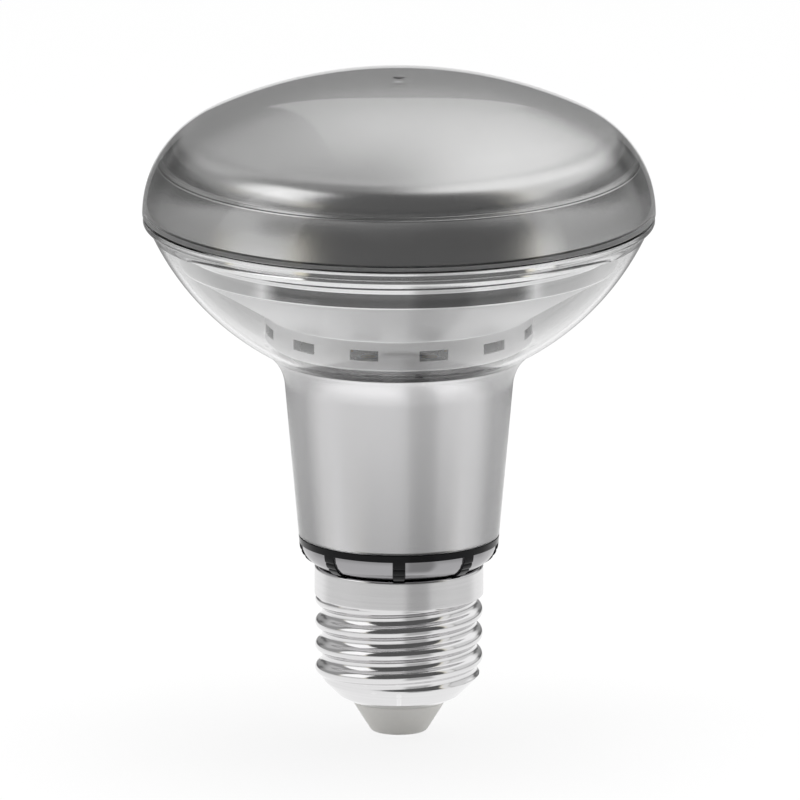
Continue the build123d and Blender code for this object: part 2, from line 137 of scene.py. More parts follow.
class ShaderTree:
    """A node tree, with the one method that adds nodes to it."""

    def __init__(self, tree: bpy.types.NodeTree) -> None:
        """Empties the tree and keeps it."""
        self.tree = tree
        tree.nodes.clear()

    def add(
        self, kind: str, settings: dict[str, Any] | None = None, inputs: dict[Any, Any] | None = None
    ) -> bpy.types.Node:
        """Adds a node, sets it up and feeds its sockets.

        Args:
            kind: Node type.
            settings: Properties of the node, set before its sockets.
            inputs: Socket name or number to a value, a Value or another socket.

        Returns:
            The node.
        """
        node = self.tree.nodes.new(kind)
        for name, setting in (settings or {}).items():
            setattr(node, name, setting)
        for name, value in (inputs or {}).items():
            source = value.socket if isinstance(value, Value) else value
            if isinstance(source, bpy.types.NodeSocket):
                self.tree.links.new(source, node.inputs[name])
            else:
                node.inputs[name].default_value = source
        return node

    def math(self, operation: str, *numbers: Number) -> Value:
        """Adds a Math node on values or numbers and returns its result."""
        node = self.add("ShaderNodeMath", {"operation": operation}, dict(enumerate(numbers)))
        return Value(self, node.outputs[0])

    def mix(self, share: Number, first: Any, second: Any) -> bpy.types.NodeSocket:
        """Mixes two colours.

        Args:
            share: Share of the second colour.
            first: Colour or colour socket.
            second: Colour or colour socket.

        Returns:
            The mixed colour's socket.
        """
        pair = [(*c, 1.0) if isinstance(c, tuple) else c for c in (first, second)]
        node = self.add("ShaderNodeMix", {"data_type": "RGBA"}, {0: share, 6: pair[0], 7: pair[1]})
        return node.outputs[2]

    def parts(self, vector: bpy.types.NodeSocket) -> tuple[Value, Value, Value]:
        """Splits a vector into its three numbers."""
        node = self.add("ShaderNodeSeparateXYZ", inputs={0: vector})
        return tuple(Value(self, out) for out in node.outputs)

    def join(self, x: Number, y: Number, z: Number) -> bpy.types.NodeSocket:
        """Makes a vector of three numbers."""
        return self.add("ShaderNodeCombineXYZ", inputs={0: x, 1: y, 2: z}).outputs[0]

    def place(self) -> bpy.types.NodeSocket:
        """The point on the object, in metres in the lamp's frame."""
        return self.add("ShaderNodeTexCoord").outputs["Object"]

    def around(self) -> tuple[Value, Value, Value]:
        """The point's distance from the lamp's axis, its angle round it and its height."""
        x, y, z = self.parts(self.place())
        return (x * x + y * y).call("SQRT"), y.call("ARCTAN2", x), z

    def facing(self) -> Value:
        """Zero where the surface faces the viewer, one where it is seen edge on."""
        return Value(self, self.add("ShaderNodeLayerWeight", inputs={"Blend": 0.5}).outputs["Facing"])

    def noise(self, where: bpy.types.NodeSocket, scale: float, detail: float = 3.0) -> Value:
        """A cloud of noise between 0 and 1, with its features to a unit and its octaves."""
        node = self.add("ShaderNodeTexNoise", inputs={"Vector": where, "Scale": scale, "Detail": detail})
        return Value(self, node.outputs[0])

    def bump(self, height: Value, distance: float) -> bpy.types.NodeSocket:
        """A normal that follows a relief of this height in metres."""
        inputs = {"Height": height, "Distance": distance, "Strength": 1.0}
        return self.add("ShaderNodeBump", inputs=inputs).outputs[0]

    def surface(self, shader: bpy.types.Node) -> None:
        """Ends a material's tree in a shader."""
        self.add("ShaderNodeOutputMaterial", inputs={"Surface": shader.outputs[0]})


def new_material(name: str) -> tuple[bpy.types.Material, ShaderTree]:
    """Makes an empty material.

    Args:
        name: Its name.

    Returns:
        The material and its tree.
    """
    material = bpy.data.materials.new(name)
    material.use_nodes = True
    return material, ShaderTree(material.node_tree)


class Grain(Enum):
    """How a finish varies over its surface."""

    SPUN = "fine rings round the axis"
    DRAWN = "fine lines along the axis"
    CLOUDED = "an even cloud"


# How a spun grain drifts round the axis, and how a drawn one is stretched round, along and outward
SPUN_DRIFT = 0.4
DRAWN_TURN = 0.012
DRAWN_RISE = 0.01
DRAWN_DEPTH = 9.0

# Broad clouds under every grain: features to a metre, and their share in the colour and the roughness
SHADE_SCALE = 60.0
SHADE_SHARE = 0.4
TOUCH_SCALE = 140.0
TOUCH_SHARE = 0.45

# Worn edges: how pointed they are, the clouds that they keep to, and how their colour lightens
WORN_EDGE = (0.52, 0.62)
WORN_CLOUD = (0.3, 0.7)
WORN_GAIN = 1.25
WORN_LIFT = 0.05


@dataclass(frozen=True)
class Finish:
    """A solid finish: two tones mixed by its grain, with a matching roughness and relief.

    Attributes:
        name: Material name.
        tones: The two colours that the grain mixes.
        rough: Roughness in the first and in the second tone.
        metallic: One for metal.
        grain: Kind of grain.
        scale: Grain features to a metre.
        relief: Height of the grain's relief, in metres.
        coat: Weight of a clear coat.
        wear: Share of worn, lighter edges.
        shine: Level of the mirrored light on a finish that is no metal.
        patch_tone: Colour of its patches, where a kind of finish has them.
    """

    name: str
    tones: tuple[Colour, Colour]
    rough: Point
    metallic: float = 0.0
    grain: Grain = Grain.CLOUDED
    scale: float = 900.0
    relief: float = 4e-6
    coat: float = 0.0
    wear: float = 0.0
    shine: float = 0.5
    patch_tone: Colour = BLACK

    def patch(self, tree: ShaderTree) -> Value | None:
        """Where the finish has patches, which on the neck coat are painted shade; nowhere on a plain one."""
        return None

    def metal_share(self, tree: ShaderTree) -> Number:
        """How much of the finish is metal."""
        return self.metallic

    def grain_value(self, tree: ShaderTree) -> Value:
        """The grain's pattern between 0 and 1.

        Args:
            tree: The material's tree.

        Returns:
            The pattern.
        """
        if self.grain is Grain.CLOUDED:
            return tree.noise(tree.place(), self.scale)
        across, turn, height = tree.around()
        if self.grain is Grain.SPUN:
            lines = (across * self.scale, height * self.scale, turn * SPUN_DRIFT)
        else:
            stretched = (turn * (self.scale * DRAWN_TURN), height * (self.scale * DRAWN_RISE))
            lines = (*stretched, across * DRAWN_DEPTH)
        return tree.noise(tree.join(*lines), 1.0, 4.0)

    def colour(self, tree: ShaderTree, grain: Value) -> bpy.types.NodeSocket:
        """The finish's colour, with its worn edges and its patches, painted shade among them on the neck
        coat.

        Args:
            tree: The material's tree.
            grain: The grain's pattern.

        Returns:
            Colour socket.
        """
        shade = tree.noise(tree.place(), SHADE_SCALE, 2.0)
        tone = tree.mix(grain * (1.0 - SHADE_SHARE) + shade * SHADE_SHARE, *self.tones)
        if self.wear:
            pointed = Value(tree, tree.add("ShaderNodeNewGeometry").outputs["Pointiness"])
            worn = pointed.rise(*WORN_EDGE) * shade.rise(*WORN_CLOUD) * self.wear
            bright = tuple(min(1.0, channel * WORN_GAIN + WORN_LIFT) for channel in self.tones[1])
            tone = tree.mix(worn, tone, bright)
        # Patches: print, panels and tracks on most finishes, painted shade on the neck coat.
        patch = self.patch(tree)
        return tone if patch is None else tree.mix(patch, tone, self.patch_tone)

    def roughness(self, tree: ShaderTree, grain: Value) -> Value:
        """The finish's roughness.

        Args:
            tree: The material's tree.
            grain: The grain's pattern.

        Returns:
            The roughness.
        """
        low, high = self.rough
        touched = tree.noise(tree.place(), TOUCH_SCALE, 4.0)
        return low + (high - low) * (grain * (1.0 - TOUCH_SHARE) + touched * TOUCH_SHARE)

    def sockets(self, tree: ShaderTree) -> dict[str, Any]:
        """What feeds the shader.

        Args:
            tree: The material's tree.

        Returns:
            Socket name to a value or a socket.
        """
        grain = self.grain_value(tree)
        return {
            "Base Color": self.colour(tree, grain),
            "Roughness": self.roughness(tree, grain),
            "Metallic": self.metal_share(tree),
            "Specular IOR Level": self.shine,
            "Normal": tree.bump(grain, self.relief),
            "Coat Weight": self.coat,
        }

    def make(self) -> bpy.types.Material:
        """Builds the material.

        Returns:
            The new material.
        """
        material, tree = new_material(self.name)
        tree.surface(tree.add("ShaderNodeBsdfPrincipled", inputs=self.sockets(tree)))
        return material


@dataclass(frozen=True)
class ClearGlass(Finish):
    """Polished clear glass with the faint waviness of blown glass, a few dull touches and painted shade at
    its outline.

    Attributes:
        index: Refractive index.
        edge: Colour of the painted shade where the glass is seen edge on, in place of the dark surroundings
            it would show there.
        edge_from_to: Facing values between which it takes that colour.
        touch_scale: Dull touches to a metre.
        touch_from_to: Noise values between which a touch grows dull.
    """

    index: float = 1.5
    edge: Colour = (0.3, 0.31, 0.32)
    edge_from_to: Point = (0.8, 0.97)
    touch_scale: float = 90.0
    touch_from_to: Point = (0.6, 0.85)

    def sockets(self, tree: ShaderTree) -> dict[str, Any]:
        """What feeds the shader.

        Args:
            tree: The material's tree.

        Returns:
            Socket name to a value or a socket.
        """
        touched = tree.noise(tree.place(), self.touch_scale, 5.0).rise(*self.touch_from_to)
        clear = tree.mix(touched, *self.tones)
        low, high = self.rough
        return {
            # Painted shade: the glass takes a dark colour where it is seen edge on.
            "Base Color": tree.mix(tree.facing().rise(*self.edge_from_to), clear, self.edge),
            "Roughness": low + (high - low) * touched,
            "Normal": tree.bump(tree.noise(tree.place(), self.scale, 1.0), self.relief),
            "Transmission Weight": 1.0,
            "IOR": self.index,
        }


@dataclass(frozen=True)
class ZonedMetal(Finish):
    """Polished metal with one satin zone up its height.

    Attributes:
        zone: Heights in metres between which it is satin.
        zone_rough: Roughness of the zone.
        zone_edge: Width of the zone's edges, in metres.
    """

    zone: Point = (0.0, 0.0)
    zone_rough: float = 0.25
    zone_edge: float = 2e-4

    def roughness(self, tree: ShaderTree, grain: Value) -> Value:
        """The metal's roughness, in and outside the zone."""
        base = super().roughness(tree, grain)
        return base + (self.zone_rough - base) * tree.around()[2].band(*self.zone, self.zone_edge)


@dataclass(frozen=True)
class NeckCoat(Finish):
    """A satin coat behind glass, with painted shade where it is seen edge on, in place of the dark
    surroundings it would mirror there.

    Attributes:
        from_to: Facing values between which it darkens.
    """

    from_to: Point = (0.13, 0.21)

    def patch(self, tree: ShaderTree) -> Value:
        """Where the painted shade lies: where the coat is seen edge on."""
        return tree.facing().rise(*self.from_to)


@dataclass(frozen=True)
class TabbedPlastic(Finish):
    """Black gloss plastic with bright panels where the ring is cut back between its tabs.

    Attributes:
        panel: Heights in metres of the panels' lower and upper edge.
        panel_edge: Width of those edges, in metres.
        tabs: Number of tabs.
        tab_half: Half the width of a tab, in metres.
        outside: Distances from the axis in metres between which the ring's outside starts.
    """

    panel: Point = (0.0273, 0.03076)
    panel_edge: float = 2e-5
    tabs: int = 8
    tab_half: float = 0.00095
    outside: Point = (0.0125, 0.0126)

    def patch(self, tree: ShaderTree) -> Value:
        """Where the ring is cut back.

        Args:
            tree: The material's tree.

        Returns:
            One on the panels, zero on the tabs and the band.
        """
        across, turn, height = tree.around()
        aside = abs(turn.wrapped(FULL_TURN / self.tabs)) * across
        between = aside.rise(self.tab_half, self.tab_half + BORDER)
        return between * height.band(*self.panel, self.panel_edge) * across.rise(*self.outside)

    def metal_share(self, tree: ShaderTree) -> Number:
        """How much of the finish is metal: all of it on the bright panels."""
        return self.patch(tree)


@dataclass(frozen=True)
class LedResin(Finish):
    """White LED bodies with a round yellow phosphor window on top.

    Attributes:
        ring: Radius in metres of the circle that the LEDs stand on.
        count: LEDs on the circle.
        window: Radius in metres of the phosphor.
        top: Height in metres over which a face is the LED's top.
    """

    ring: float = 0.0096
    count: int = 12
    window: float = 0.0012
    top: float = 0.06205

    def patch(self, tree: ShaderTree) -> Value:
        """Where the body shows.

        Args:
            tree: The material's tree.

        Returns:
            Zero on the phosphor, one round it.
        """
        across, turn, height = tree.around()
        aside = turn.wrapped(FULL_TURN / self.count) * across
        out = across - self.ring
        reach = (aside * aside + out * out).call("SQRT")
        return 1.0 - reach.rise(self.window + BORDER, self.window) * height.rise(self.top - BORDER, self.top)


@dataclass(frozen=True)
class WoundWire(Finish):
    """Enamelled wire in close turns round an axis along Y.

    Attributes:
        pitch: Turn spacing in metres.
    """

    pitch: float = 3.2e-4

    def grain_value(self, tree: ShaderTree) -> Value:
        """The turns, as a wave along Y between 0 and 1."""
        _, y, _ = tree.parts(tree.place())
        return (y * (FULL_TURN / self.pitch)).call("SINE") * 0.5 + 0.5


@dataclass(frozen=True)
class StripedSleeve(Finish):
    """A dark shrink sleeve with one pale stripe down its side.

    Attributes:
        half_width: Half the stripe's width in metres.
    """

    half_width: float = 9e-4

    def patch(self, tree: ShaderTree) -> Value:
        """Where the stripe runs."""
        x, _, _ = tree.parts(tree.place())
        return abs(x).rise(self.half_width + BORDER, self.half_width)


@dataclass(frozen=True)
class TrackedBoard(Finish):
    """Solder mask with raised tracks under it.

    Attributes:
        track_scale: Tracks to a metre.
        track_width: Width of a track, as a share of their spacing.
    """

    track_scale: float = 420.0
    track_width: float = 0.03

    def patch(self, tree: ShaderTree) -> Value:
        """Where the tracks run."""
        inputs = {"Vector": tree.place(), "Scale": self.track_scale, "Mortar Size": self.track_width}
        return Value(tree, tree.add("ShaderNodeTexBrick", inputs=inputs).outputs["Fac"])


def arc(centre: Point, radius: float, start: float, end: float, step: float = 3.0) -> list[Point]:
    """Points along a circular arc.

    Args:
        centre: Centre in mm.
        radius: Radius in mm.
        start: Angle of the first point, in degrees.
        end: Angle of the last point, in degrees.
        step: Largest angle between points, in degrees.

    Returns:
        The points, both ends among them.
    """
    count = max(2, math.ceil(abs(end - start) / step))
    angles = [math.radians(start + (end - start) * i / count) for i in range(count + 1)]
    return [(centre[0] + radius * math.cos(a), centre[1] + radius * math.sin(a)) for a in angles]


def even_turns(count: int) -> list[float]:
    """Angles in radians, evenly spaced round the axis."""
    return [FULL_TURN * i / count for i in range(count)]


def bearing(centre: Point, point: Point) -> float:
    """Angle in degrees at which a point is seen from a centre."""
    return math.degrees(math.atan2(point[1] - centre[1], point[0] - centre[0]))


def rounded(corners: Sequence[Corner], facets: int = 5, share: float = 0.7) -> list[Point]:
    """A line of corners, each rounded to its own radius.

    Args:
        corners: Radius, height and rounding of each corner, in mm; the ends aren't rounded.
        facets: Runs in each rounding.
        share: Most of a side that a rounding takes up.

    Returns:
        The points of the rounded line.
    """
    straight = math.radians(89.0)
    line: list[Point] = [corners[0][:2]]
    for before, here, after in zip(corners, corners[1:], corners[2:]):
        corner = Vector(here[:2])
        back = Vector(before[:2]) - corner
        ahead = Vector(after[:2]) - corner
        half = back.angle(ahead) / 2.0
        if here[2] <= 0.0 or half > straight:
            line.append(here[:2])
            continue
        reach = min(here[2] / math.tan(half), share * back.length, share * ahead.length)
        first = corner + back.normalized() * reach
        last = corner + ahead.normalized() * reach
        for i in range(facets + 1):
            t = i / facets
            bend = first * (1 - t) ** 2 + corner * (2 * t * (1 - t)) + last * t**2
            line.append((bend.x, bend.y))
    line.append(corners[-1][:2])
    return line


@dataclass
class Lathe:
    """A profile turned about the lamp's axis.

    Attributes:
        name: Name of the piece.
        outline: Closed profile in mm; a run between two points on the axis is left open.
        turns: Angles round the axis at which the profile stands, in radians.
        paint: Material slot of a run, from the radius and height of its middle.
        shape: Radius of a point in mm, from its angle, its profile's radius and its height.
        sharp: Angle in degrees from which an edge stays sharp.
    """

    name: str
    outline: list[Point]
    turns: list[float] = field(default_factory=lambda: even_turns(320))
    paint: Callable[[float, float], int] = lambda radius, height: 0
    shape: Callable[[float, float, float], float] = lambda turn, radius, height: radius
    sharp: float = 32.0

    def rings(self) -> tuple[list[Corner], list[list[int]]]:
        """Vertices of the turned profile, and the vertex numbers of each ring.

        Returns:
            The vertices in metres, and one list of numbers for each point of the profile.
        """
        vertices: list[Corner] = []
        numbers: list[list[int]] = []
        for radius, height in self.outline:
            if radius < TINY:
                numbers.append([len(vertices)] * len(self.turns))
                vertices.append((0.0, 0.0, height * MM))
                continue
            numbers.append(list(range(len(vertices), len(vertices) + len(self.turns))))
            for turn in self.turns:
                reach = self.shape(turn, radius, height) * MM
                vertices.append((reach * math.cos(turn), reach * math.sin(turn), height * MM))
        return vertices, numbers

    def faces(self, numbers: list[list[int]]) -> tuple[list[list[int]], list[int]]:
        """Faces between the rings, and each one's material slot.

        Args:
            numbers: Vertex numbers of each ring.

        Returns:
            The faces and their slots.
        """
        faces: list[list[int]] = []
        slots: list[int] = []
        count = len(self.outline)
        for run in range(count):
            (r0, z0), (r1, z1) = self.outline[run], self.outline[(run + 1) % count]
            if r0 < TINY and r1 < TINY:
                continue
            low, high = numbers[run], numbers[(run + 1) % count]
            slot = self.paint((r0 + r1) / 2.0, (z0 + z1) / 2.0)
            for i in range(len(self.turns)):
                j = (i + 1) % len(self.turns)
                loop = [low[i], low[j], high[j], high[i]]
                faces.append(list(dict.fromkeys(loop)))
                slots.append(slot)
        return faces, slots

    def build(self) -> bpy.types.Object:
        """Makes the piece.

        Returns:
            The new object, linked to the scene.
        """
        vertices, numbers = self.rings()
        faces, slots = self.faces(numbers)
        return make_piece(self.name, vertices, faces, slots, self.sharp)


def make_piece(
    name: str, vertices: list[Corner], faces: list[list[int]], slots: list[int], sharp: float
) -> bpy.types.Object:
    """Makes a smooth closed mesh, with its faces turned outward and its sharp edges marked.

    Args:
        name: Name of the piece.
        vertices: Vertices in metres.
        faces: Vertex numbers of each face.
        slots: Material slot of each face.
        sharp: Angle in degrees from which an edge stays sharp.

    Returns:
        The new object, linked to the scene.
    """
    mesh = bpy.data.meshes.new(name)
    mesh.from_pydata(vertices, [], faces)
    mesh.polygons.foreach_set("material_index", slots)
    mesh.polygons.foreach_set("use_smooth", [True] * len(faces))
    shape = bmesh.new()
    shape.from_mesh(mesh)
    bmesh.ops.recalc_face_normals(shape, faces=shape.faces)
    shape.to_mesh(mesh)
    shape.free()
    mesh.set_sharp_from_angle(angle=math.radians(sharp))
    piece = bpy.data.objects.new(name, mesh)
    bpy.context.scene.collection.objects.link(piece)
    return piece


def seat(piece: bpy.types.Object, node: str, slot: str, *materials: bpy.types.Material) -> None:
    """Puts a new piece in the place of a CAD node.

    Args:
        piece: The piece.
        node: The node that it stands for.
        slot: The record's material slot; not used.
        materials: Materials of the piece's slots, in order.
    """
    for material in materials:
        piece.data.materials.append(material)
    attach(piece, LAMP_BODY)
    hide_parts(node)
    log.info("%s: %d faces in place of %s", piece.name, len(piece.data.polygons), node)


@dataclass
class FrontLens:
    """The thick front lens: clear outside, with a stepped satin face inside. Sizes are in mm.

    Attributes:
        base: Height of the lens's seat.
        rim: Outer radius.
        shoulder: Radius of the outer shoulder's arc.
        height: Height of the dome over the seat.
        wall: Thickness under the crown.
        face: Radius of the satin face.
        draft: Widening of the face's side wall.
        face_round: Rounding of the face's edge.
        face_run: Width of the face's edge that the rounding may take up.
        step_height: Height of the step over the seat.
        step_width: Width of the step.
        step_rounds: Roundings of the step's outer and inner corner.
        foot: Width of the seat.
        polish: Width of the clear ring outside the ground seat.
        chamfer: Width and height of the seat's inner chamfer.
        satin_low: Height over the seat at which the satin coat ends.
        gate: Radius and height of the moulding gate.
        gate_rounds: Roundings of its top and its foot.
        gate_flare: Radii of its foot and of the dome's start, as shares of its own.
    """

    base: float = 83.1
    rim: float = 40.0
    shoulder: float = 16.2
    height: float = 21.75
    wall: float = 2.0
    face: float = 34.6
    draft: float = 0.4
    face_round: float = 5.6
    face_run: float = 4.0
    step_height: float = 7.2
    step_width: float = 1.3
    step_rounds: Point = (0.4, 0.1)
    foot: float = 3.1
    polish: float = 0.2
    chamfer: Point = (0.15, 0.1)
    satin_low: float = 0.4
    gate: Point = (0.8, 0.15)
    gate_rounds: Point = (0.12, 0.1)
    gate_flare: Point = (1.1, 1.6)
    glass: Finish = ClearGlass(
        "lens_glass", (WHITE, (0.97, 0.98, 0.98)), (0.0, 0.03), scale=45.0, relief=2e-6
    )
    satin: Finish = Finish(
        "satin_coat", ((0.7, 0.7, 0.7), (0.78, 0.78, 0.775)), (0.2, 0.25), 1.0, scale=2600.0, relief=3e-6
    )
    ground: Finish = Finish("ground_seat", ((0.72, 0.72, 0.73), (0.82, 0.82, 0.82)), (0.5, 0.6), scale=1800.0)

    def outline(self) -> list[Point]:
        """The lens's profile, from the top of the dome round to the top of the satin face.

        Returns:
            Profile in mm.
        """
        crown, middle_height = self.crown()
        middle = (0.0, middle_height)
        shoulder = (self.rim - self.shoulder, self.base)
        join = bearing(middle, shoulder)
        top = self.base + self.height
        gate, gate_height = self.gate
        flare, dome = (gate * share for share in self.gate_flare)
        line = rounded(
            [
                (0.0, top + gate_height, 0.0),
                (gate, top + gate_height, self.gate_rounds[0]),
                (flare, top, self.gate_rounds[1]),
                (dome, middle_height + math.sqrt(crown**2 - dome**2), 0.0),
            ]
        )
        line += arc(middle, crown, bearing(middle, line[-1]), join, step=0.8)[1:]
        line += arc(shoulder, self.shoulder, join, 0.0, step=2.0)[1:]
        inner = crown - self.wall
        step = self.base + self.step_height
        step_out = self.face + self.draft + self.step_width
        foot = self.rim - self.foot
        satin_edge = foot + (step_out - foot) * self.satin_low / self.step_height
        inward = self.face - self.face_run
        line += rounded(
            [
                (self.rim, self.base, 0.0),
                (self.rim - self.polish, self.base, 0.0),
                (foot + self.chamfer[0], self.base, 0.0),
                (foot, self.base + self.chamfer[1], 0.0),
                (satin_edge, self.base + self.satin_low, 0.0),
                (step_out, step, self.step_rounds[0]),
                (self.face + self.draft, step, self.step_rounds[1]),
                (self.face, middle_height + math.sqrt(inner**2 - self.face**2), self.face_round),
                (inward, middle_height + math.sqrt(inner**2 - inward**2), 0.0),
            ],
            facets=12,
            share=0.95,
        )[1:]
        return line + arc(middle, inner, bearing(middle, line[-1]), 90.0, step=0.9)[1:]

    def crown(self) -> Point:
        """Radius of the crown's arc and height of its middle.

        Returns:
            Both in mm.
        """
        span = self.rim - self.shoulder
        square = span**2 + self.height**2 - self.shoulder**2
        radius = square / (2.0 * (self.height - self.shoulder))
        return radius, self.base + self.height - radius

    def top_at(self, radius: float) -> float:
        """Height of the clear outside.

        Args:
            radius: Distance from the axis in mm.

        Returns:
            Height in mm.
        """
        span = self.rim - self.shoulder
        crown, middle = self.crown()
        if radius < crown * span / (crown - self.shoulder):
            return middle + math.sqrt(crown**2 - radius**2)
        return self.base + math.sqrt(max(self.shoulder**2 - (radius - span) ** 2, 0.0))

    def slot(self, radius: float, height: float) -> int:
        """Material slot of a run of the profile.

        Args:
            radius: Radius of the run's middle, in mm.
            height: Its height in mm.

        Returns:
            1 on the satin face, 2 on the ground seat and its chamfer, 0 on the clear outside.
        """
        if height < self.base + self.chamfer[1] / 2.0 + SLACK and radius < self.rim - self.polish:
            return 2
        return int(self.base + self.satin_low < height < self.top_at(radius) - self.wall / 2.0)

    def build(self) -> None:
        """Makes the lens and puts it in place."""
        lens = Lathe("lens", self.outline(), paint=self.slot).build()
        seat(lens, "front_lens", "satin_lens_glass", self.glass.make(), self.satin.make(), self.ground.make())


@dataclass
class GlassBody:
    """The clear glass bowl with a rolled bead, and the neck with a satin coat inside. Sizes are in mm.

    Attributes:
        wall: Thickness of the glass.
        bowl_radius: Radius of the bowl's arc.
        bowl_top: Radius and height at which the bowl meets the bead.
        corner: Radius and height at which the bowl's arc meets the neck's line.
        fillet: Radius of the round between them.
        neck_end: Radius and height of the neck's end.
        end_round: Rounding of the neck's end.
        coat_gap: Height over the neck's end at which the satin coat inside starts.
        coat_top: Height at which it ends.
        bead: Inner and outer radius of the bead.
        bead_low: Heights of its inner and outer foot over the bowl's top.
        bead_rounds: Roundings of its corners, from the inside over the rim and down.
        rim: Height of the rim.
    """

    wall: float = 0.7
    bowl_radius: float = 42.6
    bowl_top: Point = (39.09, 81.35)
    corner: Point = (18.16, 60.0)
    fillet: float = 7.5
    neck_end: Point = (15.645, 31.93)
    end_round: float = 0.2
    coat_gap: float = 0.15
    coat_top: float = 60.85
    bead: Point = (37.6, 39.9)
    bead_low: Point = (-0.65, 0.3)
    bead_rounds: tuple[float, ...] = (0.35, 0.55, 0.5, 0.3)
    rim: float = 82.57
    glass: Finish = ClearGlass(
        "bowl_glass", (WHITE, (0.97, 0.98, 0.98)), (0.0, 0.03), scale=60.0, relief=3e-6
    )
    satin: Finish = NeckCoat(
        "neck_coat",
        ((0.9, 0.895, 0.905), (0.96, 0.955, 0.965)),
        (0.22, 0.25),
        metallic=1.0,
        grain=Grain.DRAWN,
        scale=3000.0,
        relief=4e-7,
        # Painted shade at the coat's outline: its first tone, darkened by about a third.
        patch_tone=(0.612, 0.6086, 0.6154),
    )

    def bowl_centre(self) -> Vector:
        """Centre of the bowl's arc, inside the bowl and over its chord.

        Returns:
            Radius and height in mm.
        """
        start, end = Vector(self.bowl_top), Vector(self.corner)
        chord = end - start
        across = Vector((chord.y, -chord.x)).normalized()
        return (start + end) / 2.0 + across * math.sqrt(self.bowl_radius**2 - (chord.length / 2.0) ** 2)

    def line(self, depth: float) -> list[Point]:
        """The bowl's and the neck's line at a depth under the outer face, from the bead down.

        Args:
            depth: Depth in mm.

        Returns:
            Points of the line.
        """
        centre = self.bowl_centre()
        along = (Vector(self.neck_end) - Vector(self.corner)).normalized()
        out = Vector((-along.y, along.x))
        start = Vector(self.corner) + out * self.fillet - centre
        reach = self.bowl_radius + self.fillet
        step = -start.dot(along) + math.sqrt(start.dot(along) ** 2 - start.length_squared + reach**2)
        turn = centre + start + along * step
        meets_bowl = bearing(tuple(turn), tuple(centre)) % 360.0
        meets_neck = bearing((0.0, 0.0), tuple(-out)) % 360.0
        bowl_start = bearing(tuple(centre), self.bowl_top)
        line = arc(tuple(centre), self.bowl_radius - depth, bowl_start, meets_bowl - 180.0, step=1.2)
        line += arc(tuple(turn), self.fillet + depth, meets_bowl, meets_neck)
        end = Vector(self.neck_end) - out * depth
        return line + [(end.x, self.neck_end[1])]

    def outline(self) -> list[Point]:
        """The glass's profile, down the outside and up the inside.

        Returns:
            Profile in mm, with a point where the coat ends.
        """
        bowl_height = self.bowl_top[1]
        outside = self.line(0.0)
        inside = [point for point in self.line(self.wall) if point[1] < bowl_height - self.wall]
        nearest = min(range(len(inside)), key=lambda i: abs(inside[i][1] - self.coat_top))
        inside[nearest] = (inside[nearest][0], self.coat_top)
        bead_inner, bead_outer = self.bead
        bead = rounded(
            [
                (bead_inner, bowl_height + self.bead_low[0], 0.0),
                (bead_inner, self.rim, self.bead_rounds[0]),
                (bead_outer, self.rim, self.bead_rounds[1]),
                (bead_outer, bowl_height + self.bead_low[1], self.bead_rounds[2]),
                (*self.bowl_top, self.bead_rounds[3]),
                (*outside[1], 0.0),
            ],
            facets=7,
        )
        foot = rounded(
            [
                (*outside[-2], 0.0),
                (*outside[-1], self.end_round),
                (*inside[-1], self.end_round),
                (*inside[-2], 0.0),
            ]
        )
        return bead[:-1] + outside[1:-2] + foot + inside[-3::-1]

    def slot(self, radius: float, height: float) -> int:
        """Material slot of a run: 1 on the coat inside the neck, 0 on clear glass."""
        covered = self.neck_end[1] + self.coat_gap < height < self.coat_top
        return int(covered and radius < self.middle_radius(height))

    def middle_radius(self, height: float) -> float:
        """Radius half-way through the wall.

        Args:
            height: Height in mm.

        Returns:
            Radius in mm.
        """
        line = self.line(self.wall / 2.0)
        for (r0, z0), (r1, z1) in zip(line, line[1:]):
            if z1 <= height <= z0:
                return r0 + (r1 - r0) * (height - z0) / (z1 - z0)
        return line[-1][0]

    def build(self) -> None:
        """Makes the glass and puts it in place."""
        body = Lathe("bowl_and_neck", self.outline(), paint=self.slot).build()
        seat(body, "glass_body", "clear_glass", self.glass.make(), self.satin.make())


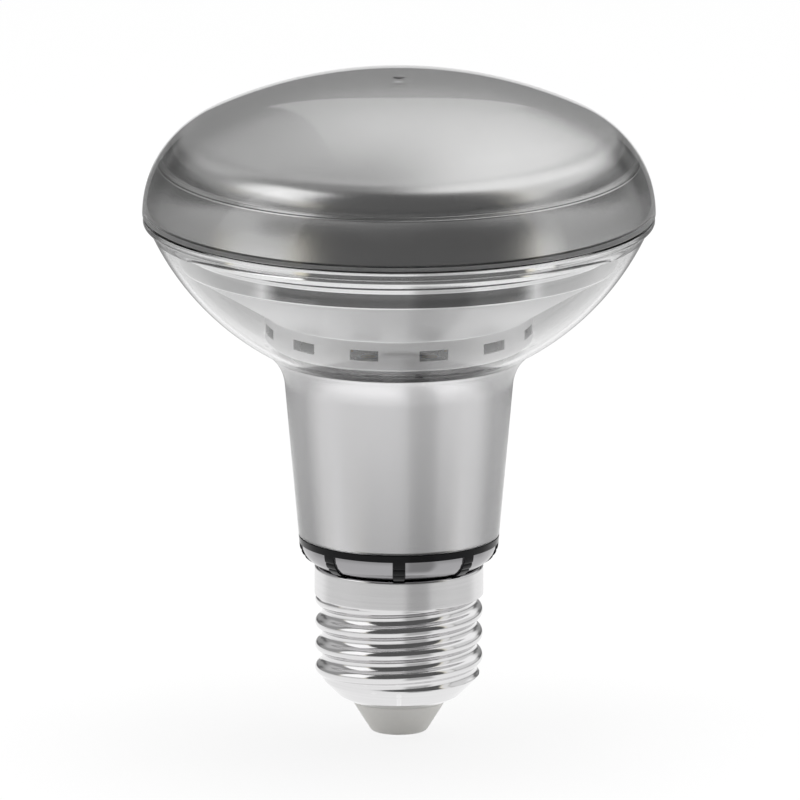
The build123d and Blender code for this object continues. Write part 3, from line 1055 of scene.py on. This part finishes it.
@dataclass
class ReflectorCup:
    """The spun reflector under the lens, and the seal round its flange. Sizes are in mm.

    Attributes:
        top: Height of the flange's upper face.
        sheet: Thickness of the sheet.
        flange: Radius and thickness of the flange.
        steps: Radii of the stepped rim.
        step_depths: Depths of the stepped rim.
        slopes: Heights of the steps' slopes.
        band: Radius and depth of the mirror band's lower edge.
        collar: Radius, upper depth and lower depth of the slotted collar.
        windows: Number of windows and half their height.
        window_facets: Facets to a window's share of the collar, and the first and last of its opening.
        seat_line: Radius and height of the seat on the LED board, and the height of its edge.
        seal: Inner and outer radius of the seal.
        seal_rounds: Roundings of the seal's inner and outer edges.
    """

    top: float = 83.07
    sheet: float = 0.5
    flange: Point = (38.1, 0.46)
    steps: Point = (36.6, 35.7)
    step_depths: Point = (2.2, 3.85)
    slopes: Point = (0.55, 0.65)
    band: Point = (34.8, 7.0)
    collar: tuple[float, float, float] = (21.0, 15.5, 20.0)
    windows: tuple[int, float] = (12, 0.8)
    window_facets: tuple[int, int, int] = (24, 7, 17)
    seat_line: tuple[float, float, float] = (16.09, 61.42, 0.3)
    seal: Point = (38.35, 39.3)
    seal_rounds: Point = (0.1, 0.2)
    metal: Finish = ZonedMetal(
        "polished_reflector",
        ((0.92, 0.92, 0.925), (0.96, 0.96, 0.96)),
        (0.04, 0.09),
        metallic=1.0,
        grain=Grain.SPUN,
        scale=4200.0,
        relief=6e-7,
        zone=(0.05, 0.076),
        zone_rough=0.5,
    )
    rubber: Finish = Finish(
        "seal_rubber", ((0.012, 0.012, 0.012), (0.03, 0.03, 0.03)), (0.45, 0.65), scale=1500.0
    )

    def window_edges(self) -> Point:
        """Heights of the windows' upper and lower edges in mm."""
        middle = self.top - (self.collar[1] + self.collar[2]) / 2.0
        return middle + self.windows[1], middle - self.windows[1]

    def lines(self) -> tuple[list[Point], list[Point]]:
        """Outer and inner line of the sheet, each from the flange down.

        Returns:
            The two lines in mm, with the windows' edges as points of their own.
        """
        flange, thickness = self.flange
        first, second = (self.top - depth for depth in self.step_depths)
        band, band_low = self.band[0], self.top - self.band[1]
        outer = [
            (flange, self.top, 0.0),
            (flange, self.top - thickness, 0.1),
            (self.steps[0], self.top - thickness, 0.25),
            (self.steps[0], first, 0.2),
            (self.steps[1], first - self.slopes[0], 0.2),
            (self.steps[1], second, 0.2),
            (band, second - self.slopes[1], 0.25),
            (band, band_low, 0.4),
        ]
        inner = [(band - self.sheet, self.top, 0.0), (band - self.sheet, band_low, 0.2)]
        collar, collar_top, collar_low = self.collar
        seat_radius, seat_height, seat_edge = self.seat_line
        high, low = self.window_edges()
        for line, depth, rounds in ((outer, 0.0, (0.4, 0.3, 0.15)), (inner, self.sheet, (0.2, 0.2, 0.1))):
            line += [
                (collar - depth, self.top - collar_top, rounds[0]),
                (collar - depth, high, 0.0),
                (collar - depth, low, 0.0),
                (collar - depth, self.top - collar_low, rounds[1]),
                (seat_radius - depth, seat_height + seat_edge, rounds[2]),
                (seat_radius - depth, seat_height, 0.0),
            ]
        return rounded(outer, facets=6), rounded(inner, facets=4)

    def cup(self) -> bpy.types.Object:
        """Makes the cup, with the windows cut through its collar.

        Returns:
            The new object.
        """
        outer, inner = self.lines()
        share, first, last = self.window_facets
        lathe = Lathe("reflector_cup", outer + inner[::-1], even_turns(self.windows[0] * share))
        around = len(lathe.turns)
        vertices, numbers = lathe.rings()
        edges = self.window_edges()
        rows = [i for i, (_, z) in enumerate(lathe.outline) if min(abs(z - edge) for edge in edges) < TINY]
        top_out, low_out, low_in, top_in = (numbers[i] for i in rows)
        kept = []
        for number, face in enumerate(lathe.faces(numbers)[0]):
            run, facet = divmod(number, around)
            if run not in (rows[0], rows[2]) or not first <= facet % share < last:
                kept.append(face)
        for window in range(0, around, share):
            for i in range(window + first, window + last):
                kept.append([top_out[i], top_out[i + 1], top_in[i + 1], top_in[i]])
                kept.append([low_in[i], low_in[i + 1], low_out[i + 1], low_out[i]])
            for i in (window + first, window + last):
                kept.append([top_out[i], top_in[i], low_in[i], low_out[i]])
        return make_piece("reflector_cup", vertices, kept, [0] * len(kept), lathe.sharp)

    def seal_ring(self) -> bpy.types.Object:
        """Makes the seal.

        Returns:
            The new object.
        """
        inside, outside = self.seal
        sharp, soft = self.seal_rounds
        low = self.top - self.flange[1]
        ring = rounded(
            [
                (inside, low + soft, 0.0),
                (inside, self.top, sharp),
                (outside, self.top, soft),
                (outside, low, soft),
                (inside, low, sharp),
                (inside, low + soft, 0.0),
            ]
        )
        return Lathe("seam_seal", ring[:-1]).build()

    def build(self) -> None:
        """Makes the reflector and the seal and puts them in place."""
        seat(self.cup(), "reflector", "polished_aluminium", self.metal.make())
        seat(self.seal_ring(), "rim_seal", "black_rubber", self.rubber.make())


@dataclass
class ScrewCap:
    """The screw shell with its rolled thread, the insulating tip and the centre contact. Sizes are in mm.

    Attributes:
        pitch: Rise of the thread in a turn.
        crest: Radius of the thread's crests.
        arc_radius: Radius of the rolled crests and hollows.
        first: Height of a crest on the +X side.
        cone: Radius and height of the points of the lower cone, up to the crest's radius.
        blend: Distance over which the thread fades into the cone.
        collar: Radius of the collar.
        collar_low: Heights between which the thread runs out into the collar.
        top: Height of the collar's upper edge.
        edge_round: Rounding of that edge.
        bore: Inner radius of the shell.
        bore_rise: Height of its start over the cone's third point.
        cone_insets: How far the inside lies in from and over the cone's first and second point.
        rows: Mesh rows up the shell.
        segments: Facets round the shell, the tip and the contact.
        tip: Radius, height and rounding of the tip's corners.
        nail: Radius, height and rounding of the contact's corners.
    """

    pitch: float = 3.629
    crest: float = 13.06
    arc_radius: float = 1.025
    first: float = 8.84
    cone: tuple[Point, ...] = ((7.6, 5.5), (9.5, 6.5), (12.0, 9.0), (13.5, 10.5))
    blend: float = 0.5
    collar: float = 13.15
    collar_low: Point = (21.6, 22.5)
    top: float = 27.1
    edge_round: float = 0.3
    bore: float = 11.5
    bore_rise: float = 0.2
    cone_insets: tuple[Point, Point] = ((0.15, 0.5), (0.35, 0.4))
    rows: int = 190
    segments: tuple[int, int, int] = (240, 160, 96)
    tip: tuple[Corner, ...] = (
        (1.0, 0.52, 0.0),
        (4.3, 0.52, 0.9),
        (7.2, 5.2, 0.3),
        (7.2, 6.0, 0.0),
        (9.0, 6.95, 0.2),
        (9.0, 7.75, 0.2),
        (1.0, 7.75, 0.0),
    )
    nail: tuple[Corner, ...] = (
        (0.0, 0.0, 0.0),
        (1.95, 0.0, 0.3),
        (2.3, 0.35, 0.2),
        (2.3, 0.5, 0.0),
        (0.98, 0.5, 0.0),
        (0.98, 8.0, 0.2),
        (0.0, 8.0, 0.0),
    )
    nickel: Finish = ZonedMetal(
        "nickel_plate",
        ((0.68, 0.675, 0.68), (0.82, 0.815, 0.82)),
        (0.07, 0.17),
        metallic=1.0,
        grain=Grain.SPUN,
        scale=2600.0,
        relief=1.2e-6,
        wear=0.5,
        zone=(0.0224, 0.0268),
        zone_rough=0.22,
    )
    tip_plastic: Finish = Finish(
        "insulator_plastic", ((0.84, 0.83, 0.8), (0.92, 0.91, 0.88)), (0.42, 0.58), scale=1500.0, relief=6e-6
    )

    def thread(self, turn: float, height: float) -> float:
        """Radius of the rolled thread.

        Args:
            turn: Angle round the axis, in radians.
            height: Height in mm.

        Returns:
            Radius in mm.
        """
        away = (height - self.first - self.pitch * turn / FULL_TURN) / self.pitch
        away = abs(away - round(away)) * self.pitch
        quarter = self.pitch / 4.0
        drop = self.arc_radius - math.sqrt(self.arc_radius**2 - quarter**2)
        if away < quarter:
            return self.crest - self.arc_radius + math.sqrt(self.arc_radius**2 - away**2)
        near = 2.0 * quarter - away
        root = self.crest - 2.0 * drop
        return root + self.arc_radius - math.sqrt(self.arc_radius**2 - near**2)

    def cone_radius(self, height: float) -> float:
        """Radius of the lower cone, unlimited over it.

        Args:
            height: Height in mm.

        Returns:
            Radius in mm.
        """
        for (r0, z0), (r1, z1) in zip(self.cone, self.cone[1:]):
            if height <= z1:
                return r0 + (r1 - r0) * (height - z0) / (z1 - z0)
        return self.collar + height

    def radius(self, turn: float, height: float) -> float:
        """Outer radius of the shell.

        Args:
            turn: Angle round the axis, in radians.
            height: Height in mm.

        Returns:
            Radius in mm.
        """
        thread, cone = self.thread(turn, height), self.cone_radius(height)
        body = min(thread, cone) - max(0.0, self.blend - abs(thread - cone)) ** 2 / 2.0
        low, high = self.collar_low
        share = min(1.0, max(0.0, (height - low) / (high - low)))
        share = share * share * (3.0 - 2.0 * share)
        collar = self.collar * share + self.bore * (1.0 - share) if share else 0.0
        edge = max(0.0, height - self.top + self.edge_round)
        return max(body, collar) - self.edge_round + math.sqrt(max(0.0, self.edge_round**2 - edge**2))

    def shell(self) -> bpy.types.Object:
        """Makes the threaded shell, with its inner wall.

        Returns:
            The new object.
        """
        low = self.cone[0][1]
        outside = [(self.collar, low + (self.top - low) * i / self.rows) for i in range(self.rows + 1)]
        foot, waist, bore_foot = self.cone[:3]
        (foot_in, foot_up), (waist_in, waist_up) = self.cone_insets
        inside = [
            (self.bore, self.top),
            (self.bore, bore_foot[1] + self.bore_rise),
            (waist[0] - waist_in, waist[1] + waist_up),
            (foot[0] - foot_in, foot[1] + foot_up),
            (foot[0] - foot_in, low),
        ]

        def thread_or_bore(turn: float, radius: float, height: float) -> float:
            """The rolled radius outside, the plain one inside."""
            return self.radius(turn, height) if radius > self.bore else radius

        turns = even_turns(self.segments[0])
        return Lathe("threaded_shell", outside + inside, turns, shape=thread_or_bore, sharp=40.0).build()

    def build(self) -> None:
        """Makes the shell, the tip and the contact and puts them in place."""
        nickel = self.nickel.make()
        seat(self.shell(), "screw_shell", "nickel_brass", nickel)
        tip = Lathe("insulating_tip", rounded(self.tip, facets=8), even_turns(self.segments[1])).build()
        seat(tip, "cap_insulator", "grey_insulator", self.tip_plastic.make())
        contact = Lathe("contact_nail", rounded(self.nail), even_turns(self.segments[2])).build()
        seat(contact, "centre_contact", "nickel_brass", nickel)


@dataclass
class NeckAdaptor:
    """The ring that carries on the neck's line to a rounded foot, with tabs. Sizes are in mm.

    Attributes:
        mouth: Radius and height of the foot.
        low: Radius and height at which the foot's round starts.
        top: Radius and height of the top edge.
        edge_round: Rounding of that edge.
        skirt: Outer and inner radius of the skirt, and the height of its end.
        ledge: Radius and height of the ledge inside.
        tabs: Number of tabs.
        tab_width: Width of a tab.
        facets: Facets across half a tab and across a panel.
        panel_top: Height of the panels' upper edge.
        panel_edge: Height that this edge takes up.
        recess: Depth of the panels between the tabs.
        groove: Depth and half width of the grooves across a tab.
        groove_heights: Heights of those grooves.
        wall_turn: Angle that the side of a tab takes up, in radians.
    """

    mouth: Point = (13.5, 27.38)
    low: Point = (15.52, 30.5)
    top: Point = (15.645, 31.9)
    edge_round: float = 0.12
    skirt: tuple[float, float, float] = (11.25, 10.45, 16.1)
    ledge: Point = (11.7, 30.4)
    tabs: int = 8
    tab_width: float = 1.9
    facets: tuple[int, int] = (4, 24)
    panel_top: float = 30.75
    panel_edge: float = 0.02
    recess: float = 0.3
    groove: Point = (0.15, 0.2)
    groove_heights: tuple[float, ...] = (28.5, 29.5)
    wall_turn: float = 0.004
    plastic: Finish = TabbedPlastic(
        "tab_plastic",
        ((0.004, 0.004, 0.005), (0.01, 0.01, 0.011)),
        (0.1, 0.18),
        scale=700.0,
        relief=2e-6,
        shine=0.15,
        patch_tone=(0.36, 0.355, 0.365),
    )

    def tab_half(self) -> float:
        """Angle of half a tab, in radians."""
        return self.tab_width / 2.0 / self.low[0]

    def turns(self) -> list[float]:
        """Angles round the axis in radians, with a pair at each side of a tab.

        Returns:
            The angles, with the first tab in front.
        """
        half = self.tab_half()
        step = FULL_TURN / self.tabs
        on_tab, on_panel = self.facets
        marks = [half * i / on_tab for i in range(-on_tab, on_tab + 1)] + [half + self.wall_turn]
        panel = step - 2.0 * half - 2.0 * self.wall_turn
        marks += [half + self.wall_turn + panel * i / on_panel for i in range(1, on_panel + 1)]
        tabs = [tab * step - FULL_TURN / 4.0 for tab in range(self.tabs)]
        return sorted((tab + mark) % FULL_TURN for tab in tabs for mark in marks)

    def cut(self, turn: float, radius: float, height: float) -> float:
        """Radius of the ring, less the panels and the grooves.

        Args:
            turn: Angle round the axis, in radians.
            radius: Radius of the plain ring, in mm.
            height: Height in mm.

        Returns:
            Radius in mm.
        """
        if radius < self.mouth[0] - SLACK or height > self.panel_top:
            return radius
        step = FULL_TURN / self.tabs
        away = abs((turn + FULL_TURN / 4.0 + step / 2.0) % step - step / 2.0)
        if away > self.tab_half() + self.wall_turn / 2.0:
            centre, reach = self.foot_round()
            return centre[0] + math.sqrt((reach - self.recess) ** 2 - (height - centre[1]) ** 2)
        near = min(abs(height - mark) for mark in self.groove_heights)
        depth, half_width = self.groove
        return radius - depth * max(0.0, 1.0 - near / half_width)

    def foot_round(self) -> tuple[Point, float]:
        """Centre and radius of the foot's round, which runs on from the neck's line.

        Returns:
            The centre's radius and height, and the round's radius, in mm.
        """
        along = (Vector(self.low) - Vector(self.top)).normalized()
        out = Vector((-along.y, along.x))
        gap = Vector(self.low) - Vector(self.mouth)
        reach = gap.length_squared / (2.0 * gap.dot(out))
        return tuple(Vector(self.low) - out * reach), reach

    def outline(self) -> list[Point]:
        """The ring's profile, from the foot up the outside and down the inside.

        Returns:
            Profile in mm.
        """
        centre, reach = self.foot_round()
        foot = arc(centre, reach, bearing(centre, self.mouth), bearing(centre, self.low), step=2.5)
        slope = (self.top[0] - self.low[0]) / (self.top[1] - self.low[1])
        edge_radius = self.low[0] + slope * (self.panel_top - self.low[1])
        foot += [(edge_radius, self.panel_top), (edge_radius, self.panel_top + self.panel_edge)]
        edge = [(*foot[-1], 0.0), (*self.top, self.edge_round), (self.ledge[0], self.top[1], 0.0)]
        outer, bore, end = self.skirt
        inside = [self.ledge, (bore, self.ledge[1]), (bore, end), (outer, end), (outer, self.mouth[1])]
        return foot + rounded(edge)[1:] + inside

    def build(self) -> None:
        """Makes the ring and puts it in place."""
        ring = Lathe("tabbed_ring", self.outline(), self.turns(), shape=self.cut, sharp=28.0).build()
        seat(ring, "cap_adaptor", "black_gloss_plastic", self.plastic.make())


@dataclass
class DressedSolids:
    """Pieces that keep their CAD solids.

    Attributes:
        finishes: Finish of each node; nodes with the same finish share its material.
    """

    finishes: dict[str, Finish]

    def build(self) -> None:
        """Gives every node its finish."""
        made: dict[Finish, bpy.types.Material] = {}
        for node, finish in self.finishes.items():
            if finish not in made:
                made[finish] = finish.make()
            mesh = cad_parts[node].data
            mesh.materials.clear()
            mesh.materials.append(made[finish])
            log.info("%s: keeps its solid", node)


@dataclass
class LightEngine(DressedSolids):
    """The heat-sink sleeve in the neck, and the LED board on it with its LEDs and screws."""

    finishes: dict[str, Finish] = field(
        default_factory=lambda: {
            "heat_sink": Finish(
                "satin_sleeve",
                ((0.5, 0.5, 0.505), (0.58, 0.58, 0.585)),
                (0.42, 0.5),
                metallic=0.75,
                grain=Grain.DRAWN,
                scale=3000.0,
                relief=2e-6,
            ),
            "led_board": TrackedBoard(
                "board_mask",
                ((0.004, 0.004, 0.005), (0.009, 0.009, 0.01)),
                (0.6, 0.75),
                patch_tone=(0.02, 0.02, 0.022),
            ),
            "led_packages": LedResin(
                "led_resin",
                ((0.78, 0.55, 0.08), (0.9, 0.68, 0.16)),
                (0.35, 0.5),
                scale=2500.0,
                patch_tone=(0.8, 0.79, 0.75),
            ),
            "board_screws": Finish(
                "zinc_plate",
                ((0.5, 0.5, 0.52), (0.66, 0.66, 0.66)),
                (0.22, 0.36),
                metallic=1.0,
                scale=1600.0,
                wear=0.6,
            ),
        }
    )


TIN = Finish("tinned_wire", ((0.55, 0.54, 0.52), (0.7, 0.69, 0.67)), (0.2, 0.34), 1.0, Grain.DRAWN, 2000.0)


@dataclass
class Driver(DressedSolids):
    """The driver board, its components and the leads, all inside the closed lamp."""

    finishes: dict[str, Finish] = field(
        default_factory=lambda: {
            "driver_sleeve": Finish("sleeve_plastic", ((0.7, 0.69, 0.66), (0.82, 0.81, 0.78)), (0.4, 0.55)),
            "driver_board": TrackedBoard(
                "driver_laminate",
                ((0.03, 0.14, 0.06), (0.05, 0.2, 0.09)),
                (0.3, 0.45),
                coat=0.3,
                patch_tone=(0.1, 0.3, 0.14),
            ),
            "input_capacitor": StripedSleeve(
                "capacitor_sleeve",
                ((0.02, 0.02, 0.04), (0.04, 0.04, 0.07)),
                (0.25, 0.4),
                patch_tone=(0.62, 0.63, 0.66),
            ),
            "film_capacitor": Finish(
                "film_epoxy", ((0.5, 0.28, 0.03), (0.62, 0.38, 0.06)), (0.15, 0.3), coat=0.5
            ),
            "inductor_core": Finish(
                "core_ferrite", ((0.03, 0.028, 0.028), (0.07, 0.066, 0.064)), (0.55, 0.75)
            ),
            "inductor_winding": WoundWire(
                "winding_copper", ((0.22, 0.07, 0.025), (0.62, 0.27, 0.11)), (0.2, 0.35), 1.0, relief=6e-5
            ),
            "bridge_rectifier": Finish(
                "bridge_epoxy", ((0.012, 0.012, 0.013), (0.03, 0.03, 0.032)), (0.45, 0.6)
            ),
            "driver_chip": Finish("chip_epoxy", ((0.014, 0.014, 0.015), (0.028, 0.028, 0.03)), (0.5, 0.65)),
            "fuse_resistor": Finish(
                "fuse_lacquer", ((0.5, 0.42, 0.28), (0.64, 0.56, 0.4)), (0.3, 0.45), coat=0.3
            ),
            "live_lead": TIN,
            "neutral_lead": TIN,
            "led_lead_positive": TIN,
            "led_lead_negative": TIN,
        }
    )


class Sweep(Enum):
    """How a patch of the studio is measured."""

    ROUND = "bearing from the camera, and height over the horizon"
    OVER = "lean to the side, and pitch from the back over the top"


@dataclass(frozen=True)
class Softbox:
    """A soft-edged patch of the studio, as the lamp's surfaces mirror it.

    Attributes:
        across: Bearings or leans between which it stands, in degrees, the viewer's right positive.
        up: Heights or pitches between which it stands, in degrees.
        soft: Width of its edges across and up, in degrees.
        light: Its colour, where 1 is white.
        sweep: How it is measured.
        bow: How far its edges bow down to the sides, in degrees for each square degree across.
        both_sides: Whether it stands at the left too.
    """

    across: Point
    up: Point
    soft: Point
    light: Colour
    sweep: Sweep = Sweep.ROUND
    bow: float = 0.0
    both_sides: bool = False

    def mask(self, places: dict[Sweep, tuple[Value, Value]]) -> Value:
        """How much of the patch a direction sees.

        Args:
            places: The direction, measured in each way.

        Returns:
            The patch's mask.
        """
        across, up = places[self.sweep]
        if self.bow:
            up = up + across * across * self.bow
        if self.both_sides:
            across = abs(across)
        return across.band(*self.across, self.soft[0]) * up.band(*self.up, self.soft[1])


@dataclass(frozen=True)
class FloorShade:
    """A part of the floor where painted shade darkens its glow, seen only in a mirror.

    Attributes:
        away: Distances from the lamp between which it darkens, in metres.
        bearings: Bearings from the camera between which it lies, in degrees.
        soft: Width of its edges, in degrees.
        loss: How much it darkens.
        beyond: Whether it lies outside those bearings instead.
    """

    away: Point
    bearings: Point
    soft: float
    loss: float
    beyond: bool = False

    def mask(self, away: Value, turn: Value) -> Value:
        """How much painted shade darkens a point of the floor.

        Args:
            away: Its distance from the lamp.
            turn: Its bearing from the camera.

        Returns:
            Zero for not at all, one for black.
        """
        there = turn.band(*self.bearings, self.soft)
        if self.beyond:
            there = 1.0 - there
        return away.rise(*self.away) * there * self.loss


def grey(level: float) -> Colour:
    """A neutral colour."""
    return level, level, level


@dataclass
class Studio:
    """A white floor, a soft white studio with dark flags, and the camera. Sizes are in metres.

    Attributes:
        floor_radius: Radius of the floor.
        floor_depth: Its thickness.
        floor_gap: How far it lies under the lamp.
        floor_back: How far its middle lies behind the lamp.
        floor_tones: The two colours of its matte face.
        floor_cloud: Features to a metre in their mix.
        floor_glow: Share of plain white in its look.
        shades: Where painted shade darkens it in a mirror.
        lamp_size: Width of the overhead lamp.
        lamp_power: Its power, in watts.
        lamp_place: Where it hangs.
        dark: Level of the unlit studio.
        boxes: What stands in the studio, from the back layer to the front one.
        elevation: Camera's height over the horizon, in degrees.
        aim: Point that the camera looks at.
        frame_width: Width of the picture at the lamp.
        distance: From the camera to the lamp.
    """

    floor_radius: float = 0.45
    floor_depth: float = 0.004
    floor_gap: float = 0.0002
    floor_back: float = 0.08
    floor_tones: tuple[Colour, Colour] = (grey(0.86), grey(0.9))
    floor_cloud: float = 30.0
    floor_glow: float = 0.86
    # Painted shade on the floor, seen only in mirrors.
    shades: tuple[FloorShade, ...] = (
        FloorShade((0.15, 0.24), (-60.0, 60.0), 20.0, 0.62, beyond=True),
        FloorShade((0.19, 0.215), (-60.0, 60.0), 20.0, 0.97),
        FloorShade((0.05, 0.09), (-105.0, 105.0), 20.0, 0.24),
        FloorShade((0.016, 0.03), (14.0, 36.0), 12.0, 0.5),
    )
    lamp_size: float = 0.7
    lamp_power: float = 6.0
    lamp_place: tuple[float, float, float] = (0.0, 0.05, 0.8)
    dark: float = 0.11
    boxes: tuple[Softbox, ...] = (
        Softbox((100.0, 190.0), (-95.0, 9.0), (30.0, 6.0), grey(0.15), both_sides=True),
        Softbox((159.0, 190.0), (9.0, 34.0), (14.0, 6.0), grey(0.35), both_sides=True),
        Softbox((-134.0, -88.0), (-30.0, 38.0), (12.0, 10.0), grey(0.36)),
        Softbox((88.0, 134.0), (-30.0, 38.0), (12.0, 10.0), grey(0.4)),
        Softbox((88.0, 134.0), (8.0, 38.0), (12.0, 10.0), grey(0.8)),
        Softbox((-46.0, 44.0), (36.0, 92.0), (16.0, 24.0), grey(0.28), Sweep.OVER),
        Softbox((-46.0, 44.0), (36.0, 56.0), (16.0, 18.0), grey(0.58), Sweep.OVER),
        Softbox((14.0, 44.0), (32.0, 98.0), (18.0, 16.0), grey(1.08), Sweep.OVER),
        Softbox((-9.8, 9.8), (-10.0, 44.0), (0.8, 28.0), grey(0.96), Sweep.OVER),
        Softbox((-30.0, 30.0), (0.0, 30.0), (8.0, 1.5), grey(0.36), Sweep.OVER, bow=0.1),
        Softbox((-88.0, -48.0), (-32.0, 6.0), (6.0, 8.0), (0.72, 0.68, 0.56)),
        Softbox((-84.0, -54.0), (-31.0, 49.0), (6.0, 5.0), grey(0.75)),
        Softbox((-88.0, -50.0), (10.0, 50.0), (4.0, 6.0), grey(1.3)),
        Softbox((66.0, 78.0), (-32.0, 50.0), (4.0, 5.0), (0.9, 0.86, 0.74)),
        Softbox((70.0, 78.0), (-32.0, 50.0), (4.0, 5.0), grey(0.9)),
    )
    elevation: float = 13.3
    aim: tuple[float, float, float] = (0.00016, 0.0, 0.0532)
    frame_width: float = 0.1246
    distance: float = 0.6

    def floor(self) -> None:
        """Makes the floor, white where it is seen straight on or through glass, and white with painted shade
        where it is mirrored.
        """
        radius, low = self.floor_radius / MM, -self.floor_depth / MM
        ring = [(radius, 0.0), (radius, low), (0.0, low), (0.0, 0.0)]
        floor = Lathe("floor", ring, even_turns(128)).build()
        floor.location = (0.0, self.floor_back, -self.floor_gap)
        material, tree = new_material("floor_white")
        cloud = tree.noise(tree.place(), self.floor_cloud, 2.0)
        matte = tree.add("ShaderNodeBsdfDiffuse", inputs={"Color": tree.mix(cloud, *self.floor_tones)})
        path = tree.add("ShaderNodeLightPath")
        camera, glossy, through = (
            Value(tree, path.outputs[f"Is {kind} Ray"]) for kind in ("Camera", "Glossy", "Transmission")
        )
        # Painted shade: in mirrors the floor's white glow darkens where the shades lie.
        tone = tree.mix(glossy * self.mirror_loss(tree), WHITE, BLACK)
        glow = tree.add("ShaderNodeEmission", inputs={"Color": tone, "Strength": 1.0})
        share = (camera.call("MAXIMUM", through) * self.floor_glow).call("MAXIMUM", glossy)
        both = tree.add("ShaderNodeMixShader", inputs={0: share, 1: matte.outputs[0], 2: glow.outputs[0]})
        tree.surface(both)
        floor.data.materials.append(material)

    def mirror_loss(self, tree: ShaderTree) -> Value:
        """How much painted shade darkens the floor in a mirror.

        Args:
            tree: The floor's tree.

        Returns:
            Zero for white, one for black.
        """
        x, y, _ = tree.parts(tree.place())
        y = y + self.floor_back
        away = (x * x + y * y).call("SQRT")
        turn = x.call("ARCTAN2", -y) * DEGREES
        most = self.shades[0].mask(away, turn)
        for shade in self.shades[1:]:
            most = most.call("MAXIMUM", shade.mask(away, turn))
        return most

    def reflected(self, tree: ShaderTree) -> bpy.types.NodeSocket:
        """What the lamp's surfaces reflect: softboxes, a pale back and dark flags in front.

        Args:
            tree: The world's tree.

        Returns:
            Colour socket.
        """
        x, y, z = tree.parts(tree.add("ShaderNodeTexCoord").outputs["Generated"])
        places = {
            Sweep.ROUND: (x.call("ARCTAN2", -y) * DEGREES, z.call("ARCSINE") * DEGREES),
            Sweep.OVER: (x.call("ARCSINE") * DEGREES, z.call("ARCTAN2", y) * DEGREES),
        }
        light: bpy.types.NodeSocket | Colour = grey(self.dark)
        for box in self.boxes:
            light = tree.mix(box.mask(places), light, box.light)
        return light

    def world(self) -> None:
        """Sets the world, white where it is seen straight on or through glass."""
        world = bpy.data.worlds.new("studio")
        world.use_nodes = True
        bpy.context.scene.world = world
        tree = ShaderTree(world.node_tree)
        path = tree.add("ShaderNodeLightPath")
        bounces = Value(tree, path.outputs["Ray Depth"]) - Value(tree, path.outputs["Transmission Depth"])
        seen = Value(tree, path.outputs["Is Camera Ray"]).call("MAXIMUM", path.outputs["Is Transmission Ray"])
        straight = seen * bounces.call("LESS_THAN", 1.5)
        tone = tree.mix(straight, self.reflected(tree), WHITE)
        back = tree.add("ShaderNodeBackground", inputs={"Color": tone, "Strength": 1.0})
        tree.add("ShaderNodeOutputWorld", inputs={"Surface": back.outputs[0]})

    def lamp(self) -> None:
        """Hangs a soft lamp overhead, which no surface mirrors."""
        data = bpy.data.lights.new("overhead", "AREA")
        data.shape = "DISK"
        data.size = self.lamp_size
        data.energy = self.lamp_power
        lamp = bpy.data.objects.new("overhead", data)
        lamp.location = self.lamp_place
        lamp.visible_glossy = False
        lamp.visible_transmission = False
        bpy.context.scene.collection.objects.link(lamp)

    def camera(self) -> None:
        """Sets the camera at the photograph's viewing angle."""
        data = bpy.data.cameras.new("view")
        data.type = "ORTHO"
        data.ortho_scale = self.frame_width
        camera = bpy.data.objects.new("view", data)
        bpy.context.scene.collection.objects.link(camera)
        rise = math.radians(self.elevation)
        back = Vector((0.0, -math.cos(rise), math.sin(rise)))
        camera.location = Vector(self.aim) + back * self.distance
        camera.rotation_euler = (-back).to_track_quat("-Z", "Y").to_euler()
        bpy.context.scene.camera = camera

    def build(self) -> None:
        """Builds the studio."""
        bpy.context.scene.view_settings.view_transform = "Standard"
        self.floor()
        self.world()
        self.lamp()
        self.camera()
        log.info("studio: floor, world, lamp and camera")


def main() -> None:
    """Builds the lamp's sub-assemblies and the studio, in order."""
    logging.basicConfig(level=logging.INFO, format="%(message)s")
    for kind in (FrontLens, GlassBody, ReflectorCup, LightEngine, NeckAdaptor, ScrewCap, Driver, Studio):
        log.info("building %s", kind.__name__)
        kind().build()


if __name__ == "__main__":
    main()
